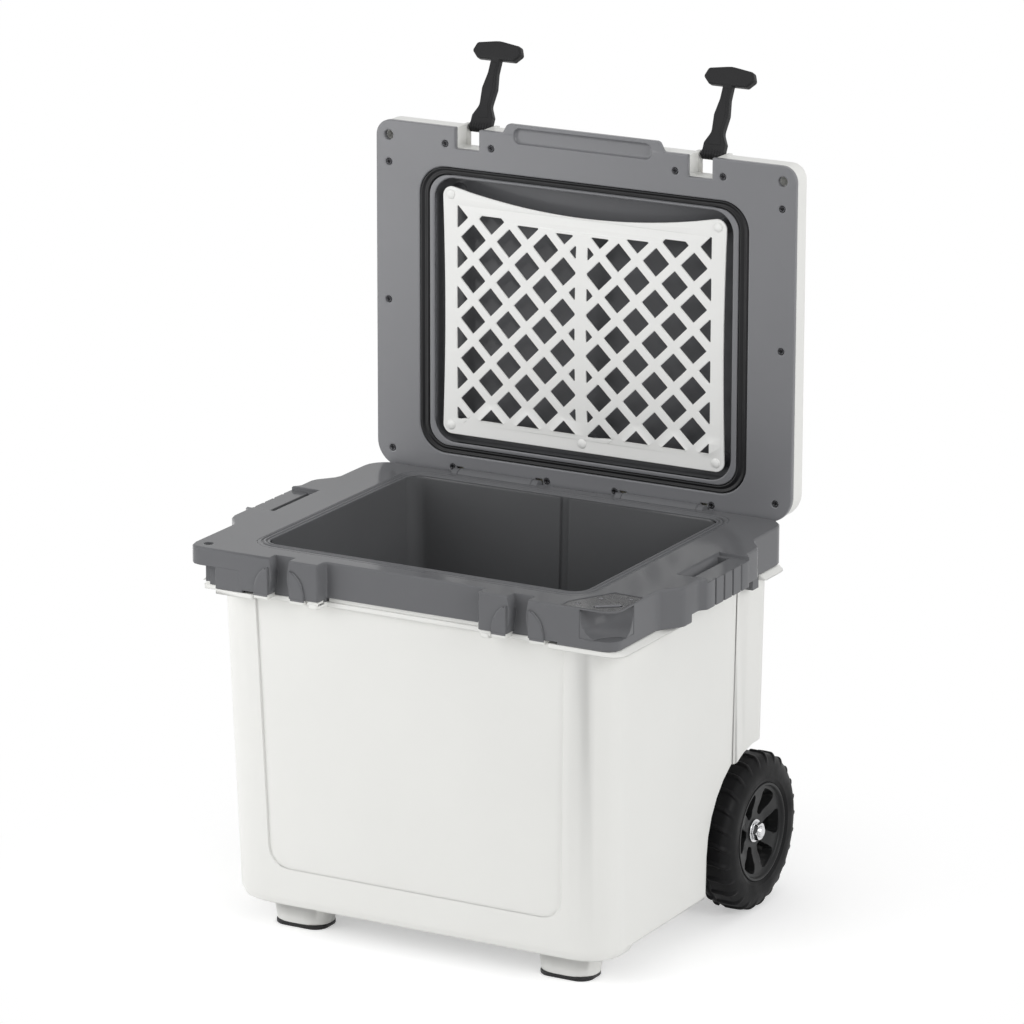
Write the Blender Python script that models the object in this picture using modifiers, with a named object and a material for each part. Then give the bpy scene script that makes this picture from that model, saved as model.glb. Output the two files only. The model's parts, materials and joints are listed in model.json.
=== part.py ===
"""Wheeled cooler with an open lid, two rubber latches and a telescoping pull handle.

Everything is in metres, +Z up, standing on z = 0 with the lid open at a right angle.
The cooler is drawn in rim coordinates: x from the middle, y backward from the front edge of the
rim, z up from the top of the rim. The empty named cooler_frame carries those coordinates to the
standing place. The lid is drawn closed in the same coordinates and turned open by its empty.
"""

import math

import bmesh
import bpy
from mathutils import Matrix, Vector

# Overall sizes
RIM_HALF = 0.260
RIM_DEPTH = 0.400
RIM_HEIGHT = 0.437
FIT = 0.0003
OVERRUN = 0.010
ARC_SAG = 0.0004
ARC_STEP = math.radians(18)
FINE_STEP = math.radians(12)
ROUND_SIDES = 16
SMALL_SIDES = 8
WELD = 0.00001
FLAT_ANGLE = math.radians(0.05)
SMOOTH_ANGLE = math.radians(32)

# Rim collar
RIM_MIDDLE_SET_BACK = 0.016
RIM_MIDDLE_HALF = 0.097
RIM_CORNER = 0.015
RIM_REAR_CORNER = 0.028
RIM_STEP_ROUND = 0.002
RIM_EDGE = 0.0015
WING_HALF = 0.2785
WING_FRONT = 0.0965
WING_FRONT_FULL = 0.1198
WING_REAR_FULL = 0.292
WING_REAR = 0.3158
WING_ROUND = 0.012
PLATE_DEEP = 0.020
COLLAR_DEEP = 0.044
MIDDLE_DEEP = 0.039
BLOCK_HALF = 0.192
WING_DEEP = 0.034
WING_LOW_FRONT = 0.137
LEFT_STEP = 0.012
LEFT_STEP_ROUND = 0.006
TAB_FRONT = 0.319
TAB_REAR = 0.333
TAB_DEEP = 0.058
TAB_OUTER = 0.258
COLLAR_HOLE_HALF = 0.2053
COLLAR_HOLE_FRONT = 0.0345
COLLAR_HOLE_REAR = 0.3855
COLLAR_HOLE_ROUND = 0.026

# Side grips of the collar
GRIP_FRONT = 0.160
GRIP_REAR = 0.257
GRIP_INNER = 0.2485
GRIP_BAR_INNER = 0.262
GRIP_OUTER = 0.285
GRIP_DROP = 0.0045
GRIP_RAMP = 0.008
GRIP_SLOT_MARGIN = 0.004
GRIP_GROOVE_WIDE = 0.004
GRIP_GROOVE_DEEP = 0.0016
GRIP_GROOVE_NEAR = 0.010
GRIP_GROOVE_FAR = 0.030

# Latch notches and the pointed ears beside them
NOTCH_X = 0.1453
NOTCH_TOP_HALF = 0.0125
NOTCH_WAIST_HALF = 0.0093
NOTCH_FOOT_HALF = 0.0128
NOTCH_WAIST_DOWN = 0.020
NOTCH_DEEP = 0.014
EAR_PROUD = 0.002
EAR_TIP_DOWN = 0.0105
EAR_TIP_OUT = 0.0137
EAR_WIDE = 0.0175
EAR_FOOT_OUT = 0.0132
EAR_FOOT_DOWN = 0.041

# Padlock hole and bottle opener
LOCK_X = 0.243
LOCK_Y = 0.016
LOCK_RADIUS = 0.0055
OPENER_THICK = 0.002
OPENER_FRONT_INNER = 0.196
OPENER_FRONT_SET_BACK = 0.0018
OPENER_PEAK_X = 0.223
OPENER_PEAK_Y = 0.068
OPENER_SIDE_Y = 0.066
OPENER_KNEE_Y = 0.018
OPENER_EDGE = 0.0018
OPENER_CORNER = 0.016
OPENER_SLOT_X = 0.2405
OPENER_SLOT_Y = 0.021
OPENER_SLOT_LONG = 0.030
OPENER_SLOT_WIDE = 0.010
OPENER_SLOT_TURN = math.radians(38)
OPENER_POCKET_X = 0.262
OPENER_POCKET_Y = -0.002
OPENER_POCKET_RADIUS = 0.044
OPENER_POCKET_DOWN = 0.033
RIVET_RADIUS = 0.0032
RIVET_PROUD = 0.0008
RIVET_HOLE = 0.0018
RIVET_SHANK = 0.0014
RIVET_LONG = 0.009
RIVET_PLACES = ((0.208, 0.015), (0.2195, 0.045), (0.249, 0.056))
RIVET_WORDS = ("front", "middle", "rear")

# White outer shell
LEDGE_INSET = 0.0015
LEDGE_DEEP = 0.0055
LEDGE_LATCH_INNER = 0.111
LEDGE_LATCH_OUTER = 0.179
LEDGE_LATCH_Y = 0.0135
BODY_TOP_HALF = 0.2365
BODY_LOW_HALF = 0.2245
BODY_FRONT_TOP = 0.021
BODY_FRONT_LOW = 0.0335
BODY_REAR = 0.3895
BODY_FRONT_ROUND = 0.037
BODY_REAR_ROUND = 0.022
BODY_BOTTOM = 0.400
BODY_BOTTOM_EDGE = 0.012
EDGE_STEPS = 2
BELLY_RISE = 0.009
BELLY_FRONT = 0.095
POST_FRONT = 0.314
POST_OUT = 0.0045
SHELL_WALL = 0.004
PANEL_TOP_HALF = 0.188
PANEL_LOW_HALF = 0.180
PANEL_BOTTOM = 0.360
PANEL_ROUND = 0.024
PANEL_DEEP = 0.002
BOSS_Y = 0.289
BOSS_RADIUS = 0.006
BOSS_BOTTOM = 0.056
FOOT_X = 0.165
FOOT_Y = 0.083
FOOT_HALF_X = 0.030
FOOT_HALF_Y = 0.026
FOOT_ROUND = 0.020
FOOT_TAPER = 0.003
PAD_HIGH = 0.005
PAD_INSET = 0.004

# Wheel wells, wheels and axle
WHEEL_RADIUS = 0.0889
WHEEL_Y = 0.366
WHEEL_X = 0.2305
WHEEL_WIDE = 0.046
WELL_RADIUS = 0.105
WELL_INNER = 0.200
WELL_WALL = 0.004
AXLE_RADIUS = 0.006
AXLE_HALF = 0.251
HUB_RADIUS = 0.055
HUB_DISH = 0.010
HUB_RIM_WALL = 0.004
HUB_WEB = 0.004
HUB_BOSS_RADIUS = 0.013
HUB_BORE_GAP = 0.0005
HUB_SIDES = 20
WINDOW_COUNT = 6
WINDOW_INNER = 0.019
WINDOW_OUTER = 0.046
WINDOW_INNER_HALF = 0.0035
WINDOW_OUTER_HALF = 0.0165
WINDOW_ROUND = 0.003
LUG_COUNT = 26
LUG_DEEP = 0.0055
LUG_GROOVE_SHARE = 0.26
LUG_SWEEP_SHARE = 0.42
TYRE_SIDE_RADIUS = 0.072
TYRE_SHOULDER_RADIUS = 0.0835
TYRE_SHOULDER_IN = 0.0035
TYRE_SIDE_IN = 0.001
TYRE_BEAD_IN = 0.004
TREAD_IN = 0.009
TREAD_GROOVE_X = 0.009
TREAD_GROOVE_HALF = 0.0025
WASHER_RADIUS = 0.013
WASHER_THICK = 0.0015
NUT_RADIUS = 0.0105
NUT_SIDES = 6
NUT_THICK = 0.006

# Inner liner
OPEN_HALF = 0.1937
OPEN_FRONT = 0.049
OPEN_REAR = 0.3705
OPEN_ROUND = 0.0175
LINER_WALL = 0.003
LINER_DEEP = 0.335
LINER_DRAFT = math.tan(math.radians(1.5))
LINER_FLOOR_ROUND = 0.012
FLANGE_THICK = 0.003
BEAD_HIGH = 0.0011
BEAD_WIDE = 0.0022
BEAD_INNER_OUT = 0.0022
BEAD_OUTER_OUT = 0.0072
LINER_PANEL_THICK = 0.003
LINER_PANEL_TOP = 0.0095
DIVIDER_HALF = 0.0056

# Hinge
HINGE_Y = 0.399
HINGE_DOWN = 0.005
LID_OPEN_ANGLE = math.radians(90)
BARREL_INNER = 0.057
BARREL_OUTER = 0.150
BARREL_RADIUS = 0.0095
BARREL_GAP = 0.0007
HINGE_BOSS_RADIUS = 0.009
HINGE_BOSS_LONG = 0.008
HINGE_PIN_RADIUS = 0.003
HINGE_PIN_END = 0.001

# Lid, drawn closed
LID_GAP = 0.0005
LID_HALF = 0.2605
LID_FRONT = 0.002
LID_REAR = 0.400
LID_FRONT_ROUND = 0.018
LID_REAR_ROUND = 0.030
LID_LIP_HALF = 0.100
LID_LIP_OUT = 0.011
LID_LIP_ROUND = 0.006
LID_LIP_FLARE = 0.006
LIP_GROOVE_HALF = 0.088
LIP_GROOVE_WIDE = 0.006
LIP_GROOVE_DEEP = 0.0015
LID_NOTCH_INNER = 0.1295
LID_NOTCH_OUTER = 0.1595
LID_NOTCH_REAR = 0.026
LID_PANEL_THICK = 0.0065
LID_HIGH = 0.043
LID_FLANGE_HIGH = 0.030
LID_DOME_INSET = 0.010
LID_DOME_EDGE = 0.006
LID_WALL = 0.003
LID_SHELL_INSET = 0.0008
CHEEK_WIDE = 0.006
CHEEK_HIGH = 0.0385
CHEEK_REAR = 0.0145
CHEEK_ROUND = 0.005
POCKET_HALF = 0.186
POCKET_FRONT = 0.056
POCKET_REAR = 0.362
POCKET_ROUND = 0.028
POCKET_DEEP = 0.024
POCKET_WALL = 0.003
GASKET_INNER_HALF = 0.1925
GASKET_OUTER_HALF = 0.2045
GASKET_FRONT = 0.048
GASKET_REAR = 0.3755
GASKET_WIDE = 0.0085
GASKET_ROUND = 0.033
GASKET_DEEP = 0.003
GASKET_SET_IN = 0.0013
SCREW_RADIUS = 0.0035
SCREW_SIDES = 6
SCREW_DEEP = 0.0045
SCREW_SUNK = 0.0006
SCREW_PLACES = (
    (0.2443, 0.0494),
    (0.2452, 0.207),
    (0.2407, 0.3786),
    (0.1724, 0.0216),
    (0.1142, 0.0213),
    (0.1629, 0.3911),
    (0.0428, 0.3916),
)
LID_LOCK_X = 0.2445
LID_LOCK_Y = 0.019

# Lattice net behind which the lid stores things
NET_THICK = 0.0024
NET_HALF = 0.177
NET_FRONT = 0.067
NET_REAR = 0.353
NET_FRONT_DIP = 0.0205
NET_SIDE_DIP = 0.003
NET_CORNER = 0.011
NET_LEVEL = 0.0034
NET_BOW = 0.006
NET_FRAME = 0.0185
NET_FRONT_FRAME = 0.020
NET_BAR_HALF = 0.0086
NET_PITCH = 0.0462
NET_HOLE_HALF = 0.0162
NET_FIRST_X = 0.0222
NET_FIRST_Y = 0.149
NET_LEAST_SIDE_SHARE = 0.3
NET_EDGE_POINTS = 10
PEG_X = 0.1665
PEG_FRONT = 0.0785
PEG_REAR = 0.343
PEG_HEAD = 0.0052
PEG_SHANK = 0.0022
PEG_PROUD = 0.0018
PEG_LONG = 0.010
PEG_POST = 0.0062

# Rubber latches
LATCH_X = 0.1445
LATCH_PIVOT_Y = 0.006
LATCH_PIVOT_UP = 0.033
LATCH_REST_TURN = math.radians(27)
LATCH_THICK = 0.009
LATCH_BASE_HALF = 0.0132
LATCH_BASE_LONG = 0.012
LATCH_WAIST_HALF = 0.0070
LATCH_WAIST_AT = 0.024
LATCH_BULGE_HALF = 0.0088
LATCH_BULGE_AT = 0.044
LATCH_NECK_HALF = 0.0058
LATCH_NECK_AT = 0.062
LATCH_T_NEAR = 0.077
LATCH_T_FAR = 0.099
LATCH_T_HALF = 0.031
LATCH_T_CHAMFER = 0.008
LATCH_T_TIP = 0.004
LATCH_T_THICK = 0.010
LATCH_BARREL_RADIUS = 0.0060
LATCH_PIN_RADIUS = 0.002
LATCH_PIN_GAP = 0.0003
LATCH_RELIEF = 0.002

# Telescoping pull handle
TUBE_X = 0.095
TUBE_Y = 0.468
TUBE_OUTER_RADIUS = 0.011
TUBE_WALL = 0.0012
TUBE_PLAY = 0.0004
TUBE_BOTTOM = 0.375
TUBE_TOP = 0.058
MID_RISE = 0.006
INNER_RISE = 0.006
GRIP_BAR_TOP = 0.012
GRIP_BAR_HIGH = 0.026
GRIP_BAR_HALF = 0.108
GRIP_BAR_DEEP = 0.026
GRIP_BAR_ROUND = 0.009
GRIP_LEG_LONG = 0.014
BUTTON_HALF_X = 0.016
BUTTON_HALF_Y = 0.006
BUTTON_PROUD = 0.003
BUTTON_TALL = 0.011
BUTTON_GAP = 0.0005
BUTTON_WELL = 0.020
SPRING_RADIUS = 0.0036
SPRING_WIRE = 0.0006
SPRING_TURNS = 5
SPRING_TURN_POINTS = 6
MOUNT_HALF = 0.114
MOUNT_HIGH = 0.030
MOUNT_TOP = 0.064
MOUNT_LOW = 0.350
MOUNT_REAR = 0.487
MOUNT_ROUND = 0.012
MOUNT_WEB_INNER = 0.060
MOUNT_WEB = 0.014
MOUNT_SCREW_RADIUS = 0.0045
MOUNT_SCREW_SHANK = 0.0022
MOUNT_SCREW_HEAD = 0.003
MOUNT_FLANGE = 0.006

# Drain through the left wall
DRAIN_Y = 0.150
DRAIN_DOWN = 0.318
DRAIN_TUBE = 0.011
DRAIN_BORE = 0.008
DRAIN_FLANGE = 0.019
DRAIN_FLANGE_THICK = 0.003
DRAIN_CAP = 0.015
DRAIN_CAP_THICK = 0.008
DRAIN_STEM = 0.0072
DRAIN_STEM_LONG = 0.018
DRAIN_SEAL_THICK = 0.0015
DRAIN_WING_HALF = 0.003
DRAIN_WING_HIGH = 0.007

# Standing place of the rim coordinates
FRONT_REACH = -EAR_PROUD
MIDDLE_Y = (FRONT_REACH + MOUNT_REAR) / 2

# Colours
WHITE = (0.83, 0.83, 0.81, 1)
GREY = (0.180, 0.182, 0.190, 1)
LINER_GREY = (0.120, 0.122, 0.127, 1)
NET_WHITE = (0.88, 0.88, 0.86, 1)
BLACK = (0.020, 0.020, 0.021, 1)
RUBBER = (0.045, 0.046, 0.048, 1)
STEEL = (0.62, 0.62, 0.63, 1)
FOAM = (0.75, 0.70, 0.52, 1)


def clear_scene():
    """Remove every object that is already in the file."""
    for old in list(bpy.data.objects):
        bpy.data.objects.remove(old, do_unlink=True)


def collection(name):
    """A collection linked under the scene."""
    group = bpy.data.collections.new(name)
    bpy.context.scene.collection.children.link(group)
    return group


clear_scene()
PARTS = collection("wheeled_cooler")
TOOLS = collection("cutters_and_guides")


def finish_material(name, colour, roughness, metallic=0.0):
    """Principled material of one plain finish."""
    made = bpy.data.materials.new(name)
    made.use_nodes = True
    shader = made.node_tree.nodes["Principled BSDF"]
    shader.inputs["Base Color"].default_value = colour
    shader.inputs["Roughness"].default_value = roughness
    shader.inputs["Metallic"].default_value = metallic
    made.diffuse_color = colour
    return made


def arc_step(radius):
    """Angle of one chord of an arc, so that all arcs are about equally smooth."""
    return 2 * math.acos(max(1 - ARC_SAG / radius, math.cos(math.radians(30))))


def filleted(corners, step=None):
    """Closed outline from (x, y, radius) corners, each rounded by its own arc."""
    outline = []
    count = len(corners)
    for index, (x, y, radius) in enumerate(corners):
        here = Vector((x, y))
        back = (Vector(corners[index - 1][:2]) - here).normalized()
        ahead = (Vector(corners[(index + 1) % count][:2]) - here).normalized()
        half = back.angle(ahead) / 2
        if radius == 0 or half > math.radians(89.5):
            outline.append((x, y))
            continue
        centre = here + (back + ahead).normalized() * (radius / math.sin(half))
        start = here + back * (radius / math.tan(half)) - centre
        sweep = math.pi - 2 * half
        turn = 1 if start.y * back.x > start.x * back.y else -1
        pieces = max(1, round(sweep / (step or arc_step(radius))))
        first = math.atan2(start.y, start.x)
        for piece in range(pieces + 1):
            angle = first + turn * sweep * piece / pieces
            outline.append((centre.x + radius * math.cos(angle), centre.y + radius * math.sin(angle)))
    return outline


def both_sides(half):
    """Corners of a symmetric outline from its right half, front middle to rear middle."""
    left = [(-x, y, radius) for x, y, radius in reversed(half) if x > 0]
    return list(half) + left


def box_corners(half_x, front, rear, radius_front, radius_rear=None):
    """Corners of a rectangle that is symmetric about x = 0."""
    back = radius_front if radius_rear is None else radius_rear
    return [
        (half_x, front, radius_front),
        (half_x, rear, back),
        (-half_x, rear, back),
        (-half_x, front, radius_front),
    ]


def new_object(name, mesh, group):
    """Object of a mesh in one of the two collections."""
    made = bpy.data.objects.new(name, mesh)
    group.objects.link(made)
    if group is TOOLS:
        made.hide_render = True
        made.display_type = "WIRE"
    return made


def mesh_from(builder, name):
    """Mesh of a bmesh of one solid, with its faces pointing out."""
    bmesh.ops.recalc_face_normals(builder, faces=builder.faces)
    if builder.calc_volume(signed=True) < 0:
        bmesh.ops.reverse_faces(builder, faces=builder.faces)
    mesh = bpy.data.meshes.new(name)
    builder.to_mesh(mesh)
    builder.free()
    return mesh


def curve_mesh(curve, name):
    """Mesh of a curve as evaluated, with its caps welded."""
    holder = bpy.data.objects.new(name, curve)
    TOOLS.objects.link(holder)
    seen = holder.evaluated_get(bpy.context.evaluated_depsgraph_get())
    raw = bpy.data.meshes.new_from_object(seen)
    bpy.data.objects.remove(holder, do_unlink=True)
    builder = bmesh.new()
    builder.from_mesh(raw)
    bpy.data.meshes.remove(raw)
    bmesh.ops.remove_doubles(builder, verts=builder.verts, dist=WELD)
    return builder


def plate(name, outline, bottom, top, group=None, edge=0.0, holes=(), rounds=0):
    """Flat outline, with holes, made solid from bottom to top, its rims cut or rounded by edge."""
    curve = bpy.data.curves.new(name, "CURVE")
    curve.dimensions = "2D"
    curve.fill_mode = "BOTH"
    curve.extrude = (top - bottom) / 2 - edge
    curve.bevel_depth = edge
    curve.bevel_resolution = rounds
    curve.offset = -edge
    for ring in (outline, *holes):
        spline = curve.splines.new("POLY")
        spline.points.add(len(ring) - 1)
        for point, (x, y) in zip(spline.points, ring):
            point.co = (x, y, 0, 1)
        spline.use_cyclic_u = True
    builder = curve_mesh(curve, name)
    if not holes:
        bmesh.ops.dissolve_limit(builder, angle_limit=FLAT_ANGLE, verts=[], edges=builder.edges)
    bmesh.ops.translate(builder, verts=builder.verts, vec=(0, 0, (top + bottom) / 2))
    return new_object(name, mesh_from(builder, name), group or TOOLS)


def loft(name, sections, group=None):
    """Solid through outlines with the same number of points, each given with its height."""
    builder = bmesh.new()
    rings = []
    for outline, height in sections:
        rings.append([builder.verts.new((x, y, height)) for x, y in outline])
    for low, high in zip(rings, rings[1:]):
        for index in range(len(low)):
            builder.faces.new((low[index - 1], low[index], high[index], high[index - 1]))
    builder.faces.new(rings[0])
    builder.faces.new(rings[-1])
    return new_object(name, mesh_from(builder, name), group or TOOLS)


def cylinder(name, radius, start, end, group=None, sides=ROUND_SIDES, end_radius=None):
    """Cylinder or cone between two points."""
    first = Vector(start)
    along = Vector(end) - first
    builder = bmesh.new()
    bmesh.ops.create_cone(
        builder,
        cap_ends=True,
        segments=sides,
        radius1=radius,
        radius2=radius if end_radius is None else end_radius,
        depth=along.length,
    )
    turn = along.to_track_quat("Z", "Y").to_matrix().to_4x4()
    bmesh.ops.transform(builder, matrix=Matrix.Translation(first + along / 2) @ turn, verts=builder.verts)
    return new_object(name, mesh_from(builder, name), group or TOOLS)


def block(name, low, high, group=None):
    """Box between its lowest and its highest corner."""
    builder = bmesh.new()
    bmesh.ops.create_cube(builder, size=1)
    size = [b - a for a, b in zip(low, high)]
    middle = [(a + b) / 2 for a, b in zip(low, high)]
    bmesh.ops.scale(builder, vec=size, verts=builder.verts)
    bmesh.ops.translate(builder, vec=middle, verts=builder.verts)
    return new_object(name, mesh_from(builder, name), group or TOOLS)


def turned(name, profile, sides, group=None, closed=False):
    """Profile of (radius, height) points turned about Z by a Screw modifier."""
    builder = bmesh.new()
    points = [builder.verts.new((radius, 0, height)) for radius, height in profile]
    for first, second in zip(points, points[1:]):
        builder.edges.new((first, second))
    if closed:
        builder.edges.new((points[-1], points[0]))
    mesh = bpy.data.meshes.new(name)
    builder.to_mesh(mesh)
    builder.free()
    made = new_object(name, mesh, group or TOOLS)
    screw = made.modifiers.new("Screw", "SCREW")
    screw.steps = sides
    screw.render_steps = sides
    screw.use_merge_vertices = True
    screw.merge_threshold = WELD
    return made


def boolean(target, tool, operation):
    """Boolean of a tool on a target."""
    change = target.modifiers.new(operation.title(), "BOOLEAN")
    change.operation = operation
    change.solver = "EXACT"
    change.object = tool


def cut(target, *tools):
    """Take tools away from a target."""
    for tool in tools:
        boolean(target, tool, "DIFFERENCE")


def fuse(target, *tools):
    """Join tools to a target."""
    for tool in tools:
        boolean(target, tool, "UNION")


def settle(made, seat, finish):
    """Hang a part and its tools on a seat and give it its finish and smooth shading."""
    hang(made, seat)
    made.data.materials.append(finish)
    made.data.shade_smooth()
    made.data.set_sharp_from_angle(angle=SMOOTH_ANGLE)
    return made


def hang(made, seat):
    """Put an object, and the tools that work on it, on a seat: a parent and a place under it."""
    made.parent, made.location = seat
    for change in made.modifiers:
        if change.type == "BOOLEAN":
            hang(change.object, seat)


def shifted(made, place):
    """Move an object that has not been hung on a seat yet."""
    made.location = place
    return made


def baked(piece):
    """Part made of a placed object as it is evaluated."""
    bpy.context.view_layer.update()
    seen = piece.evaluated_get(bpy.context.evaluated_depsgraph_get())
    mesh = bpy.data.meshes.new_from_object(seen)
    mesh.transform(seen.matrix_world)
    name = piece.name
    bpy.data.objects.remove(piece, do_unlink=True)
    return new_object(name, mesh, PARTS)


def axis(name, place, parent=None, turn=(0, 0, 0)):
    """Empty on a joint's axis, or one that carries the rim coordinates."""
    made = bpy.data.objects.new(name, None)
    TOOLS.objects.link(made)
    made.location = place
    made.rotation_euler = turn
    made.parent = parent
    return made


def wall(name, outline, front, rear, group=None):
    """Outline drawn as (x, z) made solid between two depths."""
    made = plate(name, outline, -rear, -front, group)
    made.data.transform(Matrix.Rotation(math.radians(90), 4, "X"))
    return made


ACROSS = Matrix(((0, 0, 1, 0), (1, 0, 0, 0), (0, 1, 0, 0), (0, 0, 0, 1)))


def side_plate(name, outline, left, right, group=None, edge=0.0, holes=()):
    """Outline drawn as (y, z) made solid between two places across the cooler."""
    made = plate(name, outline, left, right, group, edge, holes)
    made.data.transform(ACROSS)
    return made


def arc(centre, radius, first, last, step=FINE_STEP):
    """Points of an arc in degrees from first to last."""
    pieces = max(1, round(abs(last - first) / math.degrees(step)))
    points = []
    for piece in range(pieces + 1):
        angle = math.radians(first + (last - first) * piece / pieces)
        points.append((centre[0] + radius * math.cos(angle), centre[1] + radius * math.sin(angle)))
    return points


SHELL_TOP = -(COLLAR_DEEP + FIT)
BODY_TOP = SHELL_TOP - LEDGE_DEEP
WHEEL_Z = WHEEL_RADIUS - RIM_HEIGHT
SIDES = (-1, 1)
SIDE_WORDS = {-1: "left", 1: "right"}


def body_outline(depth_share, inset, edge_inset):
    """Plan of the body at a share of its height from the bottom, drawn in by two insets."""
    half = BODY_LOW_HALF + (BODY_TOP_HALF - BODY_LOW_HALF) * depth_share - inset - edge_inset
    front = BODY_FRONT_LOW + (BODY_FRONT_TOP - BODY_FRONT_LOW) * depth_share + inset + edge_inset
    rear = BODY_REAR - inset - edge_inset
    front_round = BODY_FRONT_ROUND - inset - edge_inset
    rear_round = max(BODY_REAR_ROUND - inset - edge_inset, LEDGE_DEEP)
    return filleted(box_corners(half, front, rear, front_round, rear_round), ARC_STEP)


def well(name, side, grow):
    """Space of one wheel well, its walls moved out by grow."""
    radius = WELL_RADIUS + grow
    outline = arc((WHEEL_Y, WHEEL_Z), radius, 180, 0)
    low = -RIM_HEIGHT - OVERRUN
    outline = [(WHEEL_Y - radius, low)] + outline + [(WHEEL_Y + radius, low)]
    inner = WELL_INNER - grow
    outer = RIM_HALF + OVERRUN
    span = (inner, outer) if side > 0 else (-outer, -inner)
    return side_plate(name, outline, *span)


def body_solid(name, inset, top, group=None):
    """Tapered body with a rounded bottom edge, wells and raised belly, drawn in by inset."""
    edge = BODY_BOTTOM_EDGE - inset
    bottom = -BODY_BOTTOM + inset
    height = BODY_BOTTOM + BODY_TOP
    sections = []
    for index in range(EDGE_STEPS + 1):
        angle = math.radians(90) * index / EDGE_STEPS
        rise = edge * (1 - math.cos(angle))
        inward = edge * (1 - math.sin(angle))
        sections.append((body_outline((rise + inset) / height, inset, inward), bottom + rise))
    top_share = (top + BODY_BOTTOM) / height
    sections.append((body_outline(top_share, inset, 0), top))
    made = loft(name, sections, group)
    for side in SIDES:
        cut(made, well(f"{name}_well_{side}", side, inset))
    belly_top = -BODY_BOTTOM + BELLY_RISE + inset
    low = (-RIM_HALF, BELLY_FRONT - inset, -RIM_HEIGHT)
    cut(made, block(f"{name}_belly", low, (RIM_HALF, RIM_DEPTH, belly_top)))
    return made


def rear_post(side):
    """Stepped-out strip of the shell that runs down beside a rear corner."""
    sections = []
    for share, level in ((0, -BODY_BOTTOM + BELLY_RISE), (1, SHELL_TOP)):
        half = BODY_LOW_HALF + (BODY_TOP_HALF - BODY_LOW_HALF) * share + POST_OUT
        middle = half - BODY_REAR_ROUND - WELL_WALL
        corners = [
            (side * middle, POST_FRONT, 0),
            (side * half, POST_FRONT, POST_OUT),
            (side * half, BODY_REAR, BODY_REAR_ROUND),
            (side * middle, BODY_REAR, 0),
        ]
        sections.append((filleted(corners, ARC_STEP), level))
    post = loft(f"rear_post_{side}", sections)
    cut(post, well(f"rear_post_well_{side}", side, 0))
    return post


def foot(side):
    """Moulded foot, a little narrower at the ground."""
    sections = []
    low = -RIM_HEIGHT + PAD_HIGH + FIT
    high = -BODY_BOTTOM + BODY_BOTTOM_EDGE
    for taper, level in ((FOOT_TAPER, low), (0, high)):
        half_x = FOOT_HALF_X - taper
        half_y = FOOT_HALF_Y - taper
        corners = box_corners(half_x, FOOT_Y - half_y, FOOT_Y + half_y, FOOT_ROUND)
        sections.append(([(x + side * FOOT_X, y) for x, y in filleted(corners, ARC_STEP)], level))
    return loft(f"foot_{side}", sections)


def ledge():
    """White ledge under the grey collar, set back where the latches hang."""
    outer = RIM_HALF - LEDGE_INSET
    front = LEDGE_INSET
    middle_front = RIM_MIDDLE_SET_BACK + LEDGE_INSET
    flank = BODY_TOP_HALF + LEDGE_INSET
    half = [
        (RIM_MIDDLE_HALF + LEDGE_INSET, middle_front, RIM_STEP_ROUND),
        (RIM_MIDDLE_HALF + LEDGE_INSET, front, RIM_STEP_ROUND),
        (LEDGE_LATCH_INNER, front, RIM_STEP_ROUND),
        (LEDGE_LATCH_INNER, LEDGE_LATCH_Y, RIM_STEP_ROUND),
        (LEDGE_LATCH_OUTER, LEDGE_LATCH_Y, RIM_STEP_ROUND),
        (LEDGE_LATCH_OUTER, front, RIM_STEP_ROUND),
        (outer, front, RIM_CORNER),
        (outer, WING_LOW_FRONT - LEDGE_INSET, RIM_STEP_ROUND),
        (flank, WING_LOW_FRONT, RIM_STEP_ROUND),
        (flank, TAB_REAR, 0),
        (outer, TAB_REAR + LEDGE_INSET, RIM_STEP_ROUND),
        (outer, RIM_DEPTH - LEDGE_INSET, RIM_REAR_CORNER),
    ]
    return plate("ledge", filleted(both_sides(half)), BODY_TOP, SHELL_TOP)


def front_recess():
    """Shallow panel pressed into the sloping front of the shell."""
    down = PANEL_BOTTOM + BODY_TOP
    corners = [
        (-PANEL_TOP_HALF, 0, 0),
        (-PANEL_LOW_HALF, -down, PANEL_ROUND),
        (PANEL_LOW_HALF, -down, PANEL_ROUND),
        (PANEL_TOP_HALF, 0, 0),
    ]
    made = wall("front_recess", filleted(corners), -OVERRUN, PANEL_DEEP)
    slope = math.atan2(BODY_FRONT_LOW - BODY_FRONT_TOP, BODY_BOTTOM + BODY_TOP)
    made.data.transform(Matrix.Rotation(slope, 4, "X"))
    made.data.transform(Matrix.Translation((0, BODY_FRONT_TOP, BODY_TOP)))
    return made


def drain_bore(name, radius):
    """Hole for the drain through the left wall."""
    start = (-RIM_HALF, DRAIN_Y, -DRAIN_DOWN)
    end = (-OPEN_HALF + 2 * DRAIN_TUBE, DRAIN_Y, -DRAIN_DOWN)
    return cylinder(name, radius, start, end)


def axle_bore(name, radius):
    """Hole for the axle right across the body."""
    return cylinder(name, radius, (-RIM_HALF, WHEEL_Y, WHEEL_Z), (RIM_HALF, WHEEL_Y, WHEEL_Z))


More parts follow.
